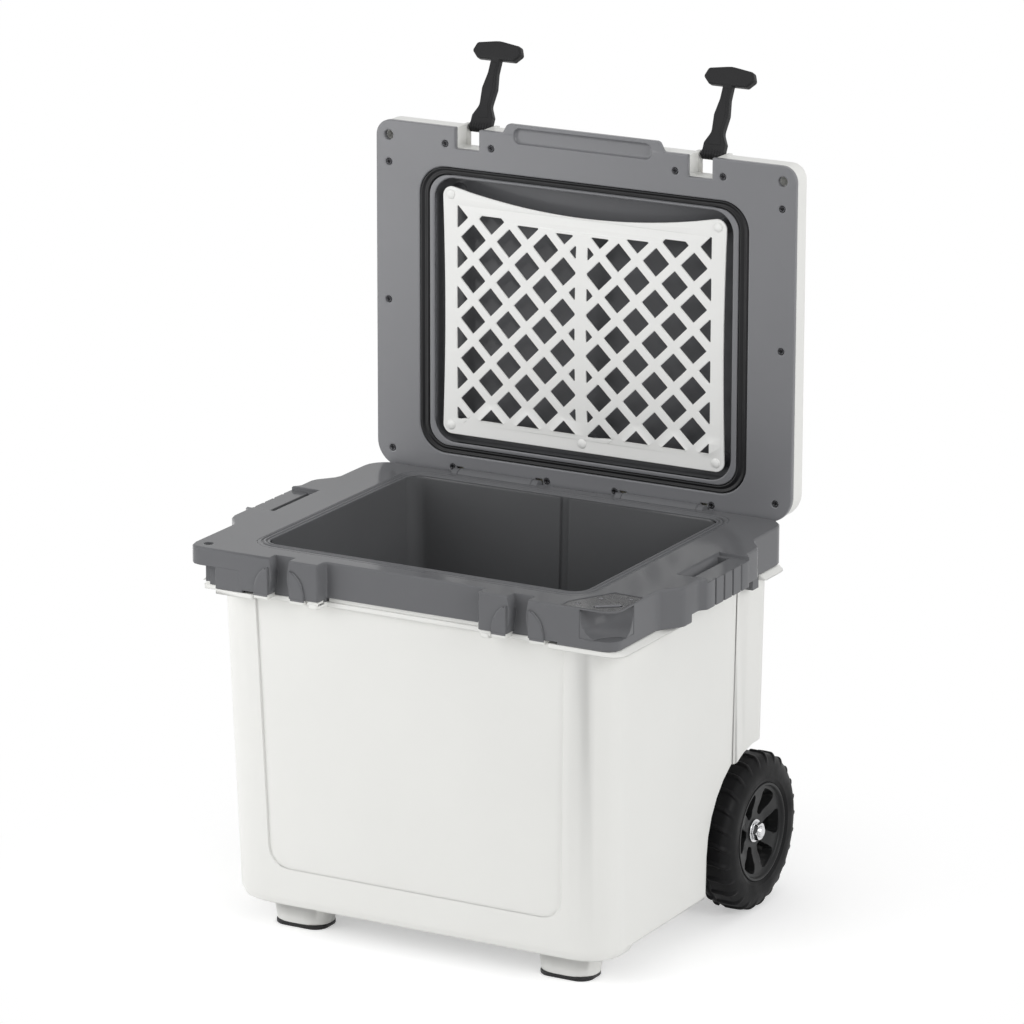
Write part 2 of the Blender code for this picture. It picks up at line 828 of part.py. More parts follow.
def outer_shell(frame, finish):
    """White moulded body shell, hollow, open under the collar."""
    made = body_solid("outer_shell", 0, SHELL_TOP, PARTS)
    for side in SIDES:
        fuse(made, rear_post(side), foot(side))
    fuse(made, ledge())
    cut(made, front_recess())
    for side in SIDES:
        top = (side * BODY_TOP_HALF, BOSS_Y, SHELL_TOP - LEDGE_DEEP / 2)
        low = (side * BODY_TOP_HALF, BOSS_Y, -BOSS_BOTTOM)
        fuse(made, cylinder(f"grip_boss_{side}", BOSS_RADIUS, low, top, sides=SMALL_SIDES))
    hollow = body_solid("shell_hollow", SHELL_WALL, SHELL_TOP + OVERRUN)
    cut(made, hollow)
    cut(made, drain_bore("shell_drain", DRAIN_TUBE + FIT))
    cut(made, axle_bore("shell_axle", AXLE_RADIUS + FIT))
    cut(made, *mount_screw_bores("shell_screw", MOUNT_SCREW_SHANK + FIT))
    return settle(made, frame, finish)


def liner_solid(name, grow, top, group=None, half=None, step_in=0.0, deep=LINER_DEEP):
    """Drafted tub with a rounded floor edge, its walls moved out by grow."""
    width = OPEN_HALF if half is None else half
    edge = LINER_FLOOR_ROUND + grow if half is None else 0
    round_off = OPEN_ROUND + grow if half is None else 0
    sections = []
    levels = [(top, 0), (-deep - grow + edge, 0), (-deep - grow + edge / 3, edge / 3), (-deep - grow, edge)]
    if edge == 0:
        levels = [(top, 0), (-deep - grow, 0)]
    for level, inward in reversed(levels):
        draw = -LINER_DRAFT * level - grow + inward
        side = width - (draw if half is None else 0)
        front = OPEN_FRONT + draw + step_in
        rear = OPEN_REAR - draw - step_in
        corner = max(round_off - inward, 0)
        sections.append((filleted(box_corners(side, front, rear, corner), ARC_STEP), level))
    return loft(name, sections, group)


def body_foam(frame, finish):
    """Insulation that fills the body between shell and liner."""
    made = body_solid("body_foam", SHELL_WALL + FIT, SHELL_TOP, PARTS)
    inset = FIT
    corners = box_corners(
        COLLAR_HOLE_HALF - inset,
        COLLAR_HOLE_FRONT + inset,
        COLLAR_HOLE_REAR - inset,
        COLLAR_HOLE_ROUND,
    )
    fuse(made, plate("foam_neck", filleted(corners), BODY_TOP - OVERRUN, -FLANGE_THICK - FIT))
    cut(made, liner_solid("foam_tub", LINER_WALL + FIT, OVERRUN))
    cut(made, drain_bore("foam_drain", DRAIN_TUBE + FIT))
    cut(made, axle_bore("foam_axle", AXLE_RADIUS + FIT))
    cut(made, *mount_screw_bores("foam_screw", MOUNT_SCREW_SHANK + FIT))
    return settle(made, frame, finish)


def ring_cutter(name, out, wide, deep):
    """Groove that runs round the opening at a distance from its edge."""
    rings = []
    for reach in (out + wide, out):
        corners = box_corners(OPEN_HALF + reach, OPEN_FRONT - reach, OPEN_REAR + reach, OPEN_ROUND + reach)
        rings.append(filleted(corners, 2 * ARC_STEP))
    return plate(name, rings[0], -deep, OVERRUN, holes=[rings[1]])


def inner_liner(frame, finish):
    """Grey tub with its flange, grooved rim, proud wall panels and divider slots."""
    made = liner_solid("inner_liner", LINER_WALL, -FLANGE_THICK / 2, PARTS)
    corners = box_corners(
        COLLAR_HOLE_HALF - FIT,
        COLLAR_HOLE_FRONT + FIT,
        COLLAR_HOLE_REAR - FIT,
        COLLAR_HOLE_ROUND,
    )
    fuse(made, plate("liner_flange", filleted(corners), -FLANGE_THICK, 0))
    cut(made, liner_solid("liner_top_space", 0, OVERRUN, deep=LINER_PANEL_TOP, half=None))
    cut(made, liner_solid("liner_space", 0, OVERRUN, step_in=LINER_PANEL_THICK))
    slot_deep = LINER_DEEP - LINER_FLOOR_ROUND
    cut(made, liner_solid("divider_slots", 0, OVERRUN, half=DIVIDER_HALF, deep=slot_deep))
    cut(made, ring_cutter("inner_groove", BEAD_INNER_OUT, BEAD_WIDE, BEAD_HIGH))
    cut(made, ring_cutter("outer_groove", BEAD_OUTER_OUT, BEAD_WIDE, BEAD_HIGH))
    cut(made, drain_bore("liner_drain", DRAIN_TUBE + FIT))
    return settle(made, frame, finish)


def collar_half():
    """Right half of the collar's plan, front middle to rear middle."""
    return [
        (RIM_MIDDLE_HALF, RIM_MIDDLE_SET_BACK, RIM_STEP_ROUND),
        (RIM_MIDDLE_HALF, 0, RIM_STEP_ROUND),
        (RIM_HALF, 0, RIM_CORNER),
        (RIM_HALF, WING_FRONT, WING_ROUND),
        (WING_HALF, WING_FRONT_FULL, WING_ROUND),
        (WING_HALF, GRIP_FRONT - GRIP_RAMP, GRIP_GROOVE_WIDE),
        (GRIP_OUTER, GRIP_FRONT, GRIP_GROOVE_WIDE),
        (GRIP_OUTER, GRIP_REAR, GRIP_GROOVE_WIDE),
        (WING_HALF, GRIP_REAR + GRIP_RAMP, GRIP_GROOVE_WIDE),
        (WING_HALF, WING_REAR_FULL, WING_ROUND),
        (RIM_HALF, WING_REAR, WING_ROUND),
        (RIM_HALF, RIM_DEPTH, RIM_REAR_CORNER),
    ]


def ear(middle, out):
    """Pointed-arch rib beside a latch notch, out being its side of the notch."""
    tall = EAR_FOOT_DOWN - EAR_TIP_DOWN
    radius = (EAR_WIDE ** 2 + tall ** 2) / (2 * EAR_WIDE)
    apex = math.degrees(math.asin(tall / radius))
    curve = arc((EAR_TIP_OUT + EAR_WIDE - radius, -EAR_FOOT_DOWN), radius, 0, apex)
    outline = [(middle + out * x, z) for x, z in [(EAR_FOOT_OUT, -EAR_FOOT_DOWN)] + curve]
    return wall(f"ear_{middle:.3f}_{out}", outline, -EAR_PROUD, NOTCH_DEEP)


def latch_notch(middle):
    """Waisted notch in the front of the collar that a latch lies in."""
    half = [
        (NOTCH_TOP_HALF, OVERRUN, 0),
        (NOTCH_TOP_HALF, 0, 0),
        (NOTCH_WAIST_HALF, -NOTCH_WAIST_DOWN, NOTCH_WAIST_DOWN),
        (NOTCH_FOOT_HALF, -EAR_FOOT_DOWN, 0),
        (NOTCH_FOOT_HALF, -COLLAR_DEEP - OVERRUN, 0),
    ]
    corners = half + [(-x, z, radius) for x, z, radius in reversed(half)]
    outline = [(middle + x, z) for x, z in filleted(corners)]
    return wall(f"latch_notch_{middle:.3f}", outline, -OVERRUN, NOTCH_DEEP)


def side_grip_cuts(side):
    """Dropped top, finger slot and outer grooves of one side grip."""
    cuts = []
    def across(name, inner, outer, front, rear, low, high):
        xs = sorted((side * inner, side * outer))
        cuts.append(block(f"{name}_{side}", (xs[0], front, low), (xs[1], rear, high)))
    far = GRIP_OUTER + OVERRUN
    across("grip_drop", GRIP_INNER, far, GRIP_FRONT, GRIP_REAR, -GRIP_DROP, OVERRUN)
    slot = (GRIP_FRONT + GRIP_SLOT_MARGIN, GRIP_REAR - GRIP_SLOT_MARGIN)
    across("finger_slot", GRIP_INNER, GRIP_BAR_INNER, *slot, -COLLAR_DEEP - OVERRUN, OVERRUN)
    low_side = BODY_TOP_HALF + BARREL_RADIUS
    across("wing_relief", low_side, far, WING_LOW_FRONT, TAB_FRONT, -COLLAR_DEEP - OVERRUN, -WING_DEEP)
    middle = (GRIP_FRONT + GRIP_REAR) / 2
    groove = GRIP_OUTER - GRIP_GROOVE_DEEP
    half = GRIP_GROOVE_WIDE / 2
    for place in (-GRIP_GROOVE_FAR, -GRIP_GROOVE_NEAR, GRIP_GROOVE_NEAR, GRIP_GROOVE_FAR):
        at = middle + place
        across(f"grip_groove_{place}", groove, far, at - half, at + half, -COLLAR_DEEP, OVERRUN)
    return cuts


def opener_outline(inset):
    """Plan of the stainless opener plate at the right front corner."""
    corners = [
        (OPENER_FRONT_INNER, OPENER_FRONT_SET_BACK, 0),
        (RIM_HALF - OPENER_EDGE, OPENER_FRONT_SET_BACK, OPENER_CORNER),
        (RIM_HALF - OPENER_EDGE, OPENER_SIDE_Y, OPENER_EDGE),
        (OPENER_PEAK_X, OPENER_PEAK_Y, OPENER_EDGE),
        (OPENER_FRONT_INNER, OPENER_KNEE_Y, OPENER_EDGE),
    ]
    middle = Vector((OPENER_SLOT_X, OPENER_SLOT_Y))
    outline = filleted(corners)
    grown = []
    for x, y in outline:
        away = (Vector((x, y)) - middle).normalized() * inset
        grown.append((x - away.x, y - away.y))
    return grown


def opener_slot():
    """Slanted slot through the opener plate."""
    half_long = OPENER_SLOT_LONG / 2
    half_wide = OPENER_SLOT_WIDE / 2
    corners = box_corners(half_long, -half_wide, half_wide, half_wide - WELD)
    turn = Matrix.Rotation(OPENER_SLOT_TURN, 2)
    points = [turn @ Vector(point) for point in filleted(corners, 2 * ARC_STEP)]
    return [(OPENER_SLOT_X + x, OPENER_SLOT_Y + y) for x, y in points]


def hinge_cylinder(name, radius, inner, outer, side, group=None):
    """Cylinder on the hinge axis between two distances from the middle."""
    start = (side * inner, HINGE_Y, -HINGE_DOWN)
    end = (side * outer, HINGE_Y, -HINGE_DOWN)
    return cylinder(name, radius, start, end, group)


def hinge_boss_spans():
    """Reach of the two bosses that hold one hinge pin."""
    inner = BARREL_INNER - FIT
    outer = BARREL_OUTER + FIT
    return ((inner - HINGE_BOSS_LONG, inner), (outer, outer + HINGE_BOSS_LONG))


def pin_span(gap=0.0):
    """Reach of one hinge pin, longer by a gap at each end."""
    (first, _), (_, last) = hinge_boss_spans()
    return first + HINGE_PIN_END - gap, last - HINGE_PIN_END + gap


def rim_collar(frame, finish):
    """Grey collar that caps the body and carries grips, notches, ears and hinge bosses."""
    hole = box_corners(COLLAR_HOLE_HALF, COLLAR_HOLE_FRONT, COLLAR_HOLE_REAR, COLLAR_HOLE_ROUND)
    outline = filleted(both_sides(collar_half()))
    made = plate("rim_collar", outline, -COLLAR_DEEP, 0, PARTS, RIM_EDGE)
    cut(made, plate("collar_hole", filleted(hole), -COLLAR_DEEP - OVERRUN, OVERRUN))
    low = -COLLAR_DEEP - OVERRUN
    for side in SIDES:
        for out in SIDES:
            fuse(made, ear(side * NOTCH_X, out))
        inner = BODY_TOP_HALF + LEDGE_INSET + BARREL_RADIUS
        xs = sorted((side * inner, side * TAB_OUTER))
        fuse(made, block(f"tab_{side}", (xs[0], TAB_FRONT, -TAB_DEEP), (xs[1], TAB_REAR, -WING_DEEP)))
    middle = (-RIM_MIDDLE_HALF, -OVERRUN, low), (RIM_MIDDLE_HALF, BODY_FRONT_TOP, -MIDDLE_DEEP)
    cut(made, block("middle_relief", *middle))
    step = (-BLOCK_HALF, -OVERRUN, low), (BLOCK_HALF, LEDGE_LATCH_Y, -EAR_FOOT_DOWN)
    cut(made, block("block_relief", *step))
    far = RIM_HALF + OVERRUN
    corner = [
        (-BLOCK_HALF - GRIP_SLOT_MARGIN, -OVERRUN, 0),
        (-BLOCK_HALF - GRIP_SLOT_MARGIN, LEFT_STEP, 0),
        (-RIM_HALF + LEFT_STEP, LEFT_STEP, LEFT_STEP_ROUND),
        (-RIM_HALF + LEFT_STEP, OPENER_POCKET_RADIUS, 0),
        (-far, OPENER_POCKET_RADIUS, 0),
        (-far, -OVERRUN, 0),
    ]
    cut(made, plate("left_corner_step", filleted(corner), low, -PLATE_DEEP))
    for side in SIDES:
        cut(made, latch_notch(side * NOTCH_X), *side_grip_cuts(side))
    lock = (-LOCK_X, LOCK_Y, low), (-LOCK_X, LOCK_Y, OVERRUN)
    cut(made, cylinder("padlock_hole", LOCK_RADIUS, *lock, sides=ROUND_SIDES))
    cut(made, plate("opener_seat", opener_outline(-FIT), -OPENER_THICK - FIT - RIVET_PROUD, OVERRUN))
    pocket = (OPENER_POCKET_X, OPENER_POCKET_Y)
    floor = (*pocket, -OPENER_POCKET_DOWN)
    roof = (*pocket, -OPENER_THICK)
    cut(made, cylinder("opener_pocket", OPENER_POCKET_RADIUS, floor, roof, sides=3 * ROUND_SIDES))
    for x, y in RIVET_PLACES:
        deep = (x, y, -RIVET_LONG - FIT), (x, y, 0)
        cut(made, cylinder(f"rivet_hole_{x}", RIVET_HOLE, *deep, sides=SMALL_SIDES))
    for side in SIDES:
        trough = BARREL_RADIUS + BARREL_GAP
        for index, (inner, outer) in enumerate(hinge_boss_spans()):
            fuse(made, hinge_cylinder(f"hinge_boss_{side}_{index}", HINGE_BOSS_RADIUS, inner, outer, side))
        cut(made, hinge_cylinder(f"trough_{side}", trough, BARREL_INNER - FIT, BARREL_OUTER + FIT, side))
        radius = HINGE_PIN_RADIUS + FIT
        cut(made, hinge_cylinder(f"collar_pin_bore_{side}", radius, *pin_span(FIT), side))
    return settle(made, frame, finish)


def opener_plate(frame, finish):
    """Stainless plate with a slanted slot, let into the collar."""
    low = -OPENER_THICK - RIVET_PROUD
    made = plate("opener_plate", opener_outline(0), low, -RIVET_PROUD, PARTS, holes=[opener_slot()])
    for x, y in RIVET_PLACES:
        through = (x, y, low - OVERRUN), (x, y, OVERRUN)
        cut(made, cylinder(f"plate_rivet_hole_{x}", RIVET_HOLE, *through, sides=SMALL_SIDES))
    return settle(made, frame, finish)


def opener_rivets(frame, finish):
    """Low rivets that hold the opener plate."""
    profile = [
        (0, 0),
        (RIVET_HOLE, 0),
        (RIVET_RADIUS, -RIVET_PROUD + FIT),
        (RIVET_SHANK, -RIVET_PROUD + FIT),
        (RIVET_SHANK, -RIVET_LONG),
        (0, -RIVET_LONG),
    ]
    for word, (x, y) in zip(RIVET_WORDS, RIVET_PLACES):
        rivet = turned(f"opener_rivet_{word}", profile, SMALL_SIDES)
        settle(baked(shifted(rivet, (x, y, 0))), frame, finish)


def hinge_pins(frame, finish):
    """Stainless pins that the lid turns on."""
    for side, word in SIDE_WORDS.items():
        pin = hinge_cylinder(f"hinge_pin_{word}", HINGE_PIN_RADIUS, *pin_span(), side, PARTS)
        settle(pin, frame, finish)


def foot_pads(frame, finish):
    """Dark pads under the two moulded feet."""
    for side, word in SIDE_WORDS.items():
        half_x = FOOT_HALF_X - PAD_INSET
        half_y = FOOT_HALF_Y - PAD_INSET
        corners = box_corners(half_x, FOOT_Y - half_y, FOOT_Y + half_y, FOOT_ROUND - PAD_INSET)
        outline = [(x + side * FOOT_X, y) for x, y in filleted(corners)]
        pad = plate(f"foot_pad_{word}", outline, -RIM_HEIGHT, -RIM_HEIGHT + PAD_HIGH, PARTS)
        settle(pad, frame, finish)


def lid_half():
    """Right half of the lid's plan, with the finger lip, front middle to rear middle."""
    return [
        (LID_LIP_HALF - LID_LIP_FLARE, LID_FRONT - LID_LIP_OUT, LID_LIP_ROUND),
        (LID_LIP_HALF, LID_FRONT, RIM_STEP_ROUND),
        (LID_HALF, LID_FRONT, LID_FRONT_ROUND),
        (LID_HALF, LID_REAR, LID_REAR_ROUND),
    ]


def lid_box(inset):
    """Plan of the lid without its lip, drawn in by an inset."""
    front_round = LID_FRONT_ROUND - inset if inset < LID_FRONT_ROUND else 0
    rear_round = LID_REAR_ROUND - inset
    corners = box_corners(LID_HALF - inset, LID_FRONT + inset, LID_REAR - inset, front_round, rear_round)
    return filleted(corners)


def lid_notch(name, side, grow, low, high):
    """Slot in the lid's front that a latch turns in, its walls moved out by grow."""
    xs = sorted((side * (LID_NOTCH_INNER - grow), side * (LID_NOTCH_OUTER + grow)))
    return block(name, (xs[0], -OVERRUN, low), (xs[1], LID_NOTCH_REAR + grow, high))


def peg_places():
    """Where the net is pegged to the lid."""
    corners = [(side * PEG_X, y) for y in (PEG_FRONT, PEG_REAR) for side in SIDES]
    return corners + [(0, PEG_REAR)]


def screw_places():
    """Where the lid's panel is screwed to its shell, both sides."""
    return [(side * x, y) for x, y in SCREW_PLACES for side in SIDES]


PANEL_TOP_Z = LID_GAP + LID_PANEL_THICK
POCKET_FLOOR = LID_GAP + POCKET_DEEP


def lid_panel(lid, finish):
    """Grey inner panel of the lid, with its pocket, gasket groove, lip and hinge barrels."""
    outline = filleted(both_sides(lid_half()))
    made = plate("lid_panel", outline, LID_GAP, PANEL_TOP_Z, PARTS)
    pocket = box_corners(POCKET_HALF, POCKET_FRONT, POCKET_REAR, POCKET_ROUND)
    pan = box_corners(
        POCKET_HALF + POCKET_WALL,
        POCKET_FRONT - POCKET_WALL,
        POCKET_REAR + POCKET_WALL,
        POCKET_ROUND + POCKET_WALL,
    )
    fuse(made, plate("pan", filleted(pan), LID_GAP + GASKET_DEEP, POCKET_FLOOR + POCKET_WALL))
    cut(made, plate("pocket", filleted(pocket), -OVERRUN, POCKET_FLOOR))
    for index, (x, y) in enumerate(peg_places()):
        post = (x, y, POCKET_FLOOR + WELD), (x, y, NET_LEVEL + NET_THICK + FIT)
        fuse(made, cylinder(f"peg_post_{index}", PEG_POST, *post, sides=SMALL_SIDES))
        bore = (x, y, NET_LEVEL), (x, y, NET_LEVEL + PEG_LONG + FIT)
        cut(made, cylinder(f"peg_bore_{index}", PEG_SHANK + FIT, *bore, sides=SMALL_SIDES))
    outer = box_corners(GASKET_OUTER_HALF + FIT, GASKET_FRONT - FIT, GASKET_REAR + FIT, GASKET_ROUND)
    inner_half = GASKET_INNER_HALF - FIT
    front = GASKET_FRONT + GASKET_WIDE + FIT
    rear = GASKET_REAR - GASKET_WIDE - FIT
    inner = box_corners(inner_half, front, rear, GASKET_ROUND - GASKET_WIDE)
    groove_top = LID_GAP + GASKET_DEEP
    cut(made, plate("gasket_groove", filleted(outer), -OVERRUN, groove_top, holes=[filleted(inner)]))
    for x, y in screw_places():
        hole = (x, y, 0), (x, y, LID_GAP + SCREW_SUNK + SCREW_DEEP + FIT)
        cut(made, cylinder(f"screw_hole_{x}_{y}", SCREW_RADIUS + FIT, *hole, sides=SCREW_SIDES))
    for side in SIDES:
        lock = (side * LID_LOCK_X, LID_LOCK_Y, -OVERRUN), (side * LID_LOCK_X, LID_LOCK_Y, LID_HIGH)
        cut(made, cylinder(f"lid_lock_{side}", LOCK_RADIUS, *lock, sides=SMALL_SIDES))
        cut(made, lid_notch(f"panel_notch_{side}", side, 0, -OVERRUN, LID_HIGH))
        for index, (inner, outer) in enumerate(hinge_boss_spans()):
            radius = HINGE_BOSS_RADIUS + BARREL_GAP
            wide = 2 * BARREL_GAP + 2 * FIT
            span = (inner - wide, outer + 2 * FIT) if index == 0 else (inner - 2 * FIT, outer + wide)
            cut(made, hinge_cylinder(f"lid_boss_relief_{side}_{index}", radius, *span, side))
        fuse(made, hinge_cylinder(f"barrel_{side}", BARREL_RADIUS, BARREL_INNER, BARREL_OUTER, side))
        radius = HINGE_PIN_RADIUS + FIT
        cut(made, hinge_cylinder(f"barrel_bore_{side}", radius, *pin_span(FIT), side))
    middle = LID_FRONT - LID_LIP_ROUND
    half = LIP_GROOVE_WIDE / 2
    groove = box_corners(LIP_GROOVE_HALF, middle - half, middle + half, half - WELD)
    cut(made, plate("lip_groove", filleted(groove, 2 * ARC_STEP), -OVERRUN, LID_GAP + LIP_GROOVE_DEEP))
    return settle(made, lid, finish)


def lid_gasket(lid, finish):
    """Black gasket in its groove."""
    outer = box_corners(GASKET_OUTER_HALF, GASKET_FRONT, GASKET_REAR, GASKET_ROUND)
    inner = box_corners(
        GASKET_INNER_HALF,
        GASKET_FRONT + GASKET_WIDE,
        GASKET_REAR - GASKET_WIDE,
        GASKET_ROUND - GASKET_WIDE,
    )
    low = LID_GAP + GASKET_SET_IN
    high = LID_GAP + GASKET_DEEP - FIT
    made = plate("lid_gasket", filleted(outer), low, high, PARTS, holes=[filleted(inner)])
    return settle(made, lid, finish)


def lid_hollow(name, inset, bottom):
    """Room inside the lid's shell, drawn in by an inset, with the latch slots walled off."""
    base = LID_SHELL_INSET + LID_WALL + inset
    high = LID_FLANGE_HIGH - LID_WALL - inset
    made = plate(name, lid_box(base), bottom, high, PARTS if inset else None)
    top = LID_HIGH - LID_WALL - inset
    fuse(made, plate(f"{name}_dome", lid_box(base + LID_DOME_INSET), high - LID_DOME_INSET, top))
    for side in SIDES:
        cut(made, lid_notch(f"{name}_notch_{side}", side, LID_WALL + inset, -OVERRUN, LID_HIGH + OVERRUN))
        place = (side * LID_LOCK_X, LID_LOCK_Y)
        tube = (*place, -OVERRUN), (*place, LID_HIGH + OVERRUN)
        radius = LOCK_RADIUS + LID_WALL + inset
        cut(made, cylinder(f"{name}_lock_{side}", radius, *tube, sides=SMALL_SIDES))
    return made


def latch_cheeks(side):
    """Raised block round a latch slot that carries the latch's pin, cut open later by the slot."""
    front = LID_FRONT + LID_SHELL_INSET
    low = LID_FLANGE_HIGH - LID_WALL / 2
    corners = [
        (front, low, 0),
        (CHEEK_REAR, low, 0),
        (CHEEK_REAR, CHEEK_HIGH, 0),
        (front, CHEEK_HIGH, CHEEK_ROUND),
    ]
    xs = sorted((side * (LID_NOTCH_INNER - CHEEK_WIDE), side * (LID_NOTCH_OUTER + CHEEK_WIDE)))
    return side_plate(f"latch_cheeks_{side}", filleted(corners), *xs)


def lid_shell(lid, finish):
    """White outer shell of the lid, hollow, open under the panel."""
    bottom = PANEL_TOP_Z + FIT
    made = plate("lid_shell", lid_box(LID_SHELL_INSET), bottom, LID_FLANGE_HIGH, PARTS, RIM_EDGE)
    dome = lid_box(LID_SHELL_INSET + LID_DOME_INSET)
    dome_low = LID_FLANGE_HIGH - LID_DOME_INSET - LID_DOME_EDGE
    fuse(made, plate("lid_dome", dome, dome_low, LID_HIGH, edge=LID_DOME_EDGE, rounds=1))
    cut(made, lid_hollow("lid_room", 0, bottom - OVERRUN))
    for side in SIDES:
        fuse(made, latch_cheeks(side))
        cut(made, lid_notch(f"shell_notch_{side}", side, 0, -OVERRUN, LID_HIGH + OVERRUN))
        place = (side * LID_LOCK_X, LID_LOCK_Y)
        hole = (*place, -OVERRUN), (*place, LID_HIGH + OVERRUN)
        cut(made, cylinder(f"shell_lock_{side}", LOCK_RADIUS, *hole, sides=SMALL_SIDES))
        cut(made, latch_pin(f"latch_pin_bore_{side}", side, LATCH_PIN_RADIUS + FIT, FIT))
    return settle(made, lid, finish)


def lid_foam(lid, finish):
    """Insulation that fills the lid round the pocket."""
    made = lid_hollow("lid_foam", FIT, PANEL_TOP_Z + FIT)
    pan = box_corners(
        POCKET_HALF + POCKET_WALL + FIT,
        POCKET_FRONT - POCKET_WALL - FIT,
        POCKET_REAR + POCKET_WALL + FIT,
        POCKET_ROUND + POCKET_WALL,
    )
    cut(made, plate("foam_pan", filleted(pan), 0, POCKET_FLOOR + POCKET_WALL + FIT))
    return settle(made, lid, finish)


def latch_pin(name, side, radius, longer=0.0, group=None):
    """Pin across a latch slot, held in the shell at both ends."""
    reach = LID_WALL - FIT - LATCH_PIN_GAP + longer
    start = (side * (LID_NOTCH_INNER - reach), LATCH_PIVOT_Y, LATCH_PIVOT_UP)
    end = (side * (LID_NOTCH_OUTER + reach), LATCH_PIVOT_Y, LATCH_PIVOT_UP)
    return cylinder(name, radius, start, end, group, SMALL_SIDES)


def latch_pins(lid, finish):
    """Pins that the latches turn on."""
    for side, word in SIDE_WORDS.items():
        settle(latch_pin(f"latch_pin_{word}", side, LATCH_PIN_RADIUS, group=PARTS), lid, finish)


def lid_screws(lid, finish):
    """Screws sunk in the lid's panel."""
    for index, (x, y) in enumerate(screw_places(), 1):
        span = (x, y, LID_GAP + SCREW_SUNK), (x, y, LID_GAP + SCREW_SUNK + SCREW_DEEP)
        settle(cylinder(f"lid_screw_{index:02}", SCREW_RADIUS, *span, PARTS, SCREW_SIDES), lid, finish)


def clipped(polygon, normal, limit):
    """Part of a polygon whose distance along a normal is below a limit."""
    kept = []
    for index, here in enumerate(polygon):
        before = polygon[index - 1]
        reach = [point[0] * normal[0] + point[1] * normal[1] - limit for point in (before, here)]
        if (reach[0] > 0) != (reach[1] > 0):
            share = reach[0] / (reach[0] - reach[1])
            kept.append(tuple(a + (b - a) * share for a, b in zip(before, here)))
        if reach[1] <= 0:
            kept.append(here)
    return kept


def polygon_area(polygon):
    """Area inside a polygon."""
    total = 0.0
    for index, (x, y) in enumerate(polygon):
        total += polygon[index - 1][0] * y - x * polygon[index - 1][1]
    return abs(total) / 2


def net_front_edge(x):
    """Drawn-in front edge of the net, which is its top when the lid is open."""
    return NET_FRONT + NET_FRONT_DIP * (1 - (abs(x) / NET_HALF) ** 2)


def net_outline():
    """Net's outline: drawn-in front and sides, straight rear, rounded corners."""
    shares = [index / NET_EDGE_POINTS for index in range(1, NET_EDGE_POINTS)]
    long = NET_REAR - NET_FRONT
    corners = [(-NET_HALF, NET_FRONT, NET_CORNER)]
    corners += [(NET_HALF * (2 * t - 1), net_front_edge(NET_HALF * (2 * t - 1)), 0) for t in shares]
    corners.append((NET_HALF, NET_FRONT, NET_CORNER))
    side = [(NET_HALF - NET_SIDE_DIP * math.sin(math.pi * t), NET_FRONT + long * t, 0) for t in shares]
    corners += side
    corners.append((NET_HALF, NET_REAR, NET_CORNER))
    corners.append((-NET_HALF, NET_REAR, NET_CORNER))
    corners += [(-x, y, radius) for x, y, radius in reversed(side)]
    return filleted(corners)


def net_holes():
    """Diamonds of the lattice, cut off by the frame and the middle bar."""
    holes = []
    full = 2 * NET_HOLE_HALF ** 2
    rows = math.ceil((NET_REAR - NET_FRONT) / NET_PITCH) + 1
    columns = math.ceil(NET_HALF / NET_PITCH) + 1
    for shift in (0, 1):
        for column in range(columns):
            for row in range(-rows, rows):
                x = NET_FIRST_X + NET_PITCH * (column + shift / 2)
                y = NET_FIRST_Y + NET_PITCH * (row + shift / 2)
                reach = NET_HOLE_HALF
                hole = [(x - reach, y), (x, y - reach), (x + reach, y), (x, y + reach)]
                hole = clipped(hole, (-1, 0), -NET_BAR_HALF)
                hole = clipped(hole, (1, 0), NET_HALF - NET_FRAME)
                hole = clipped(hole, (0, 1), NET_REAR - NET_FRAME)
                hole = clipped(hole, (0, -1), -net_front_edge(x) - NET_FRONT_FRAME)
                if len(hole) > 2 and polygon_area(hole) > full * NET_LEAST_SIDE_SHARE ** 2:
                    holes.append(hole)
                    holes.append([(-px, py) for px, py in hole])
    return holes


def lid_net(lid, finish):
    """White lattice net, bowed toward the inside of the cooler, with the pegs moulded on it."""
    made = plate("lid_net", net_outline(), NET_LEVEL, NET_LEVEL + NET_THICK, PARTS, holes=net_holes())
    middle = (PEG_FRONT + PEG_REAR) / 2
    reach = (PEG_REAR - PEG_FRONT) / 2
    for vertex in made.data.vertices:
        across = max(0, 1 - (vertex.co.x / PEG_X) ** 2)
        along = max(0, 1 - ((vertex.co.y - middle) / reach) ** 2)
        vertex.co.z -= NET_BOW * across * along
    for index, (x, y) in enumerate(peg_places()):
        head = (x, y, NET_LEVEL - PEG_PROUD), (x, y, NET_LEVEL + NET_THICK / 2)
        shank = (x, y, NET_LEVEL + NET_THICK / 2 - FIT), (x, y, NET_LEVEL + PEG_LONG)
        fuse(made, cylinder(f"peg_head_{index}", PEG_SHANK, *head, sides=SMALL_SIDES, end_radius=PEG_HEAD))
        fuse(made, cylinder(f"peg_shank_{index}", PEG_SHANK, *shank, sides=SMALL_SIDES))
    return settle(made, lid, finish)


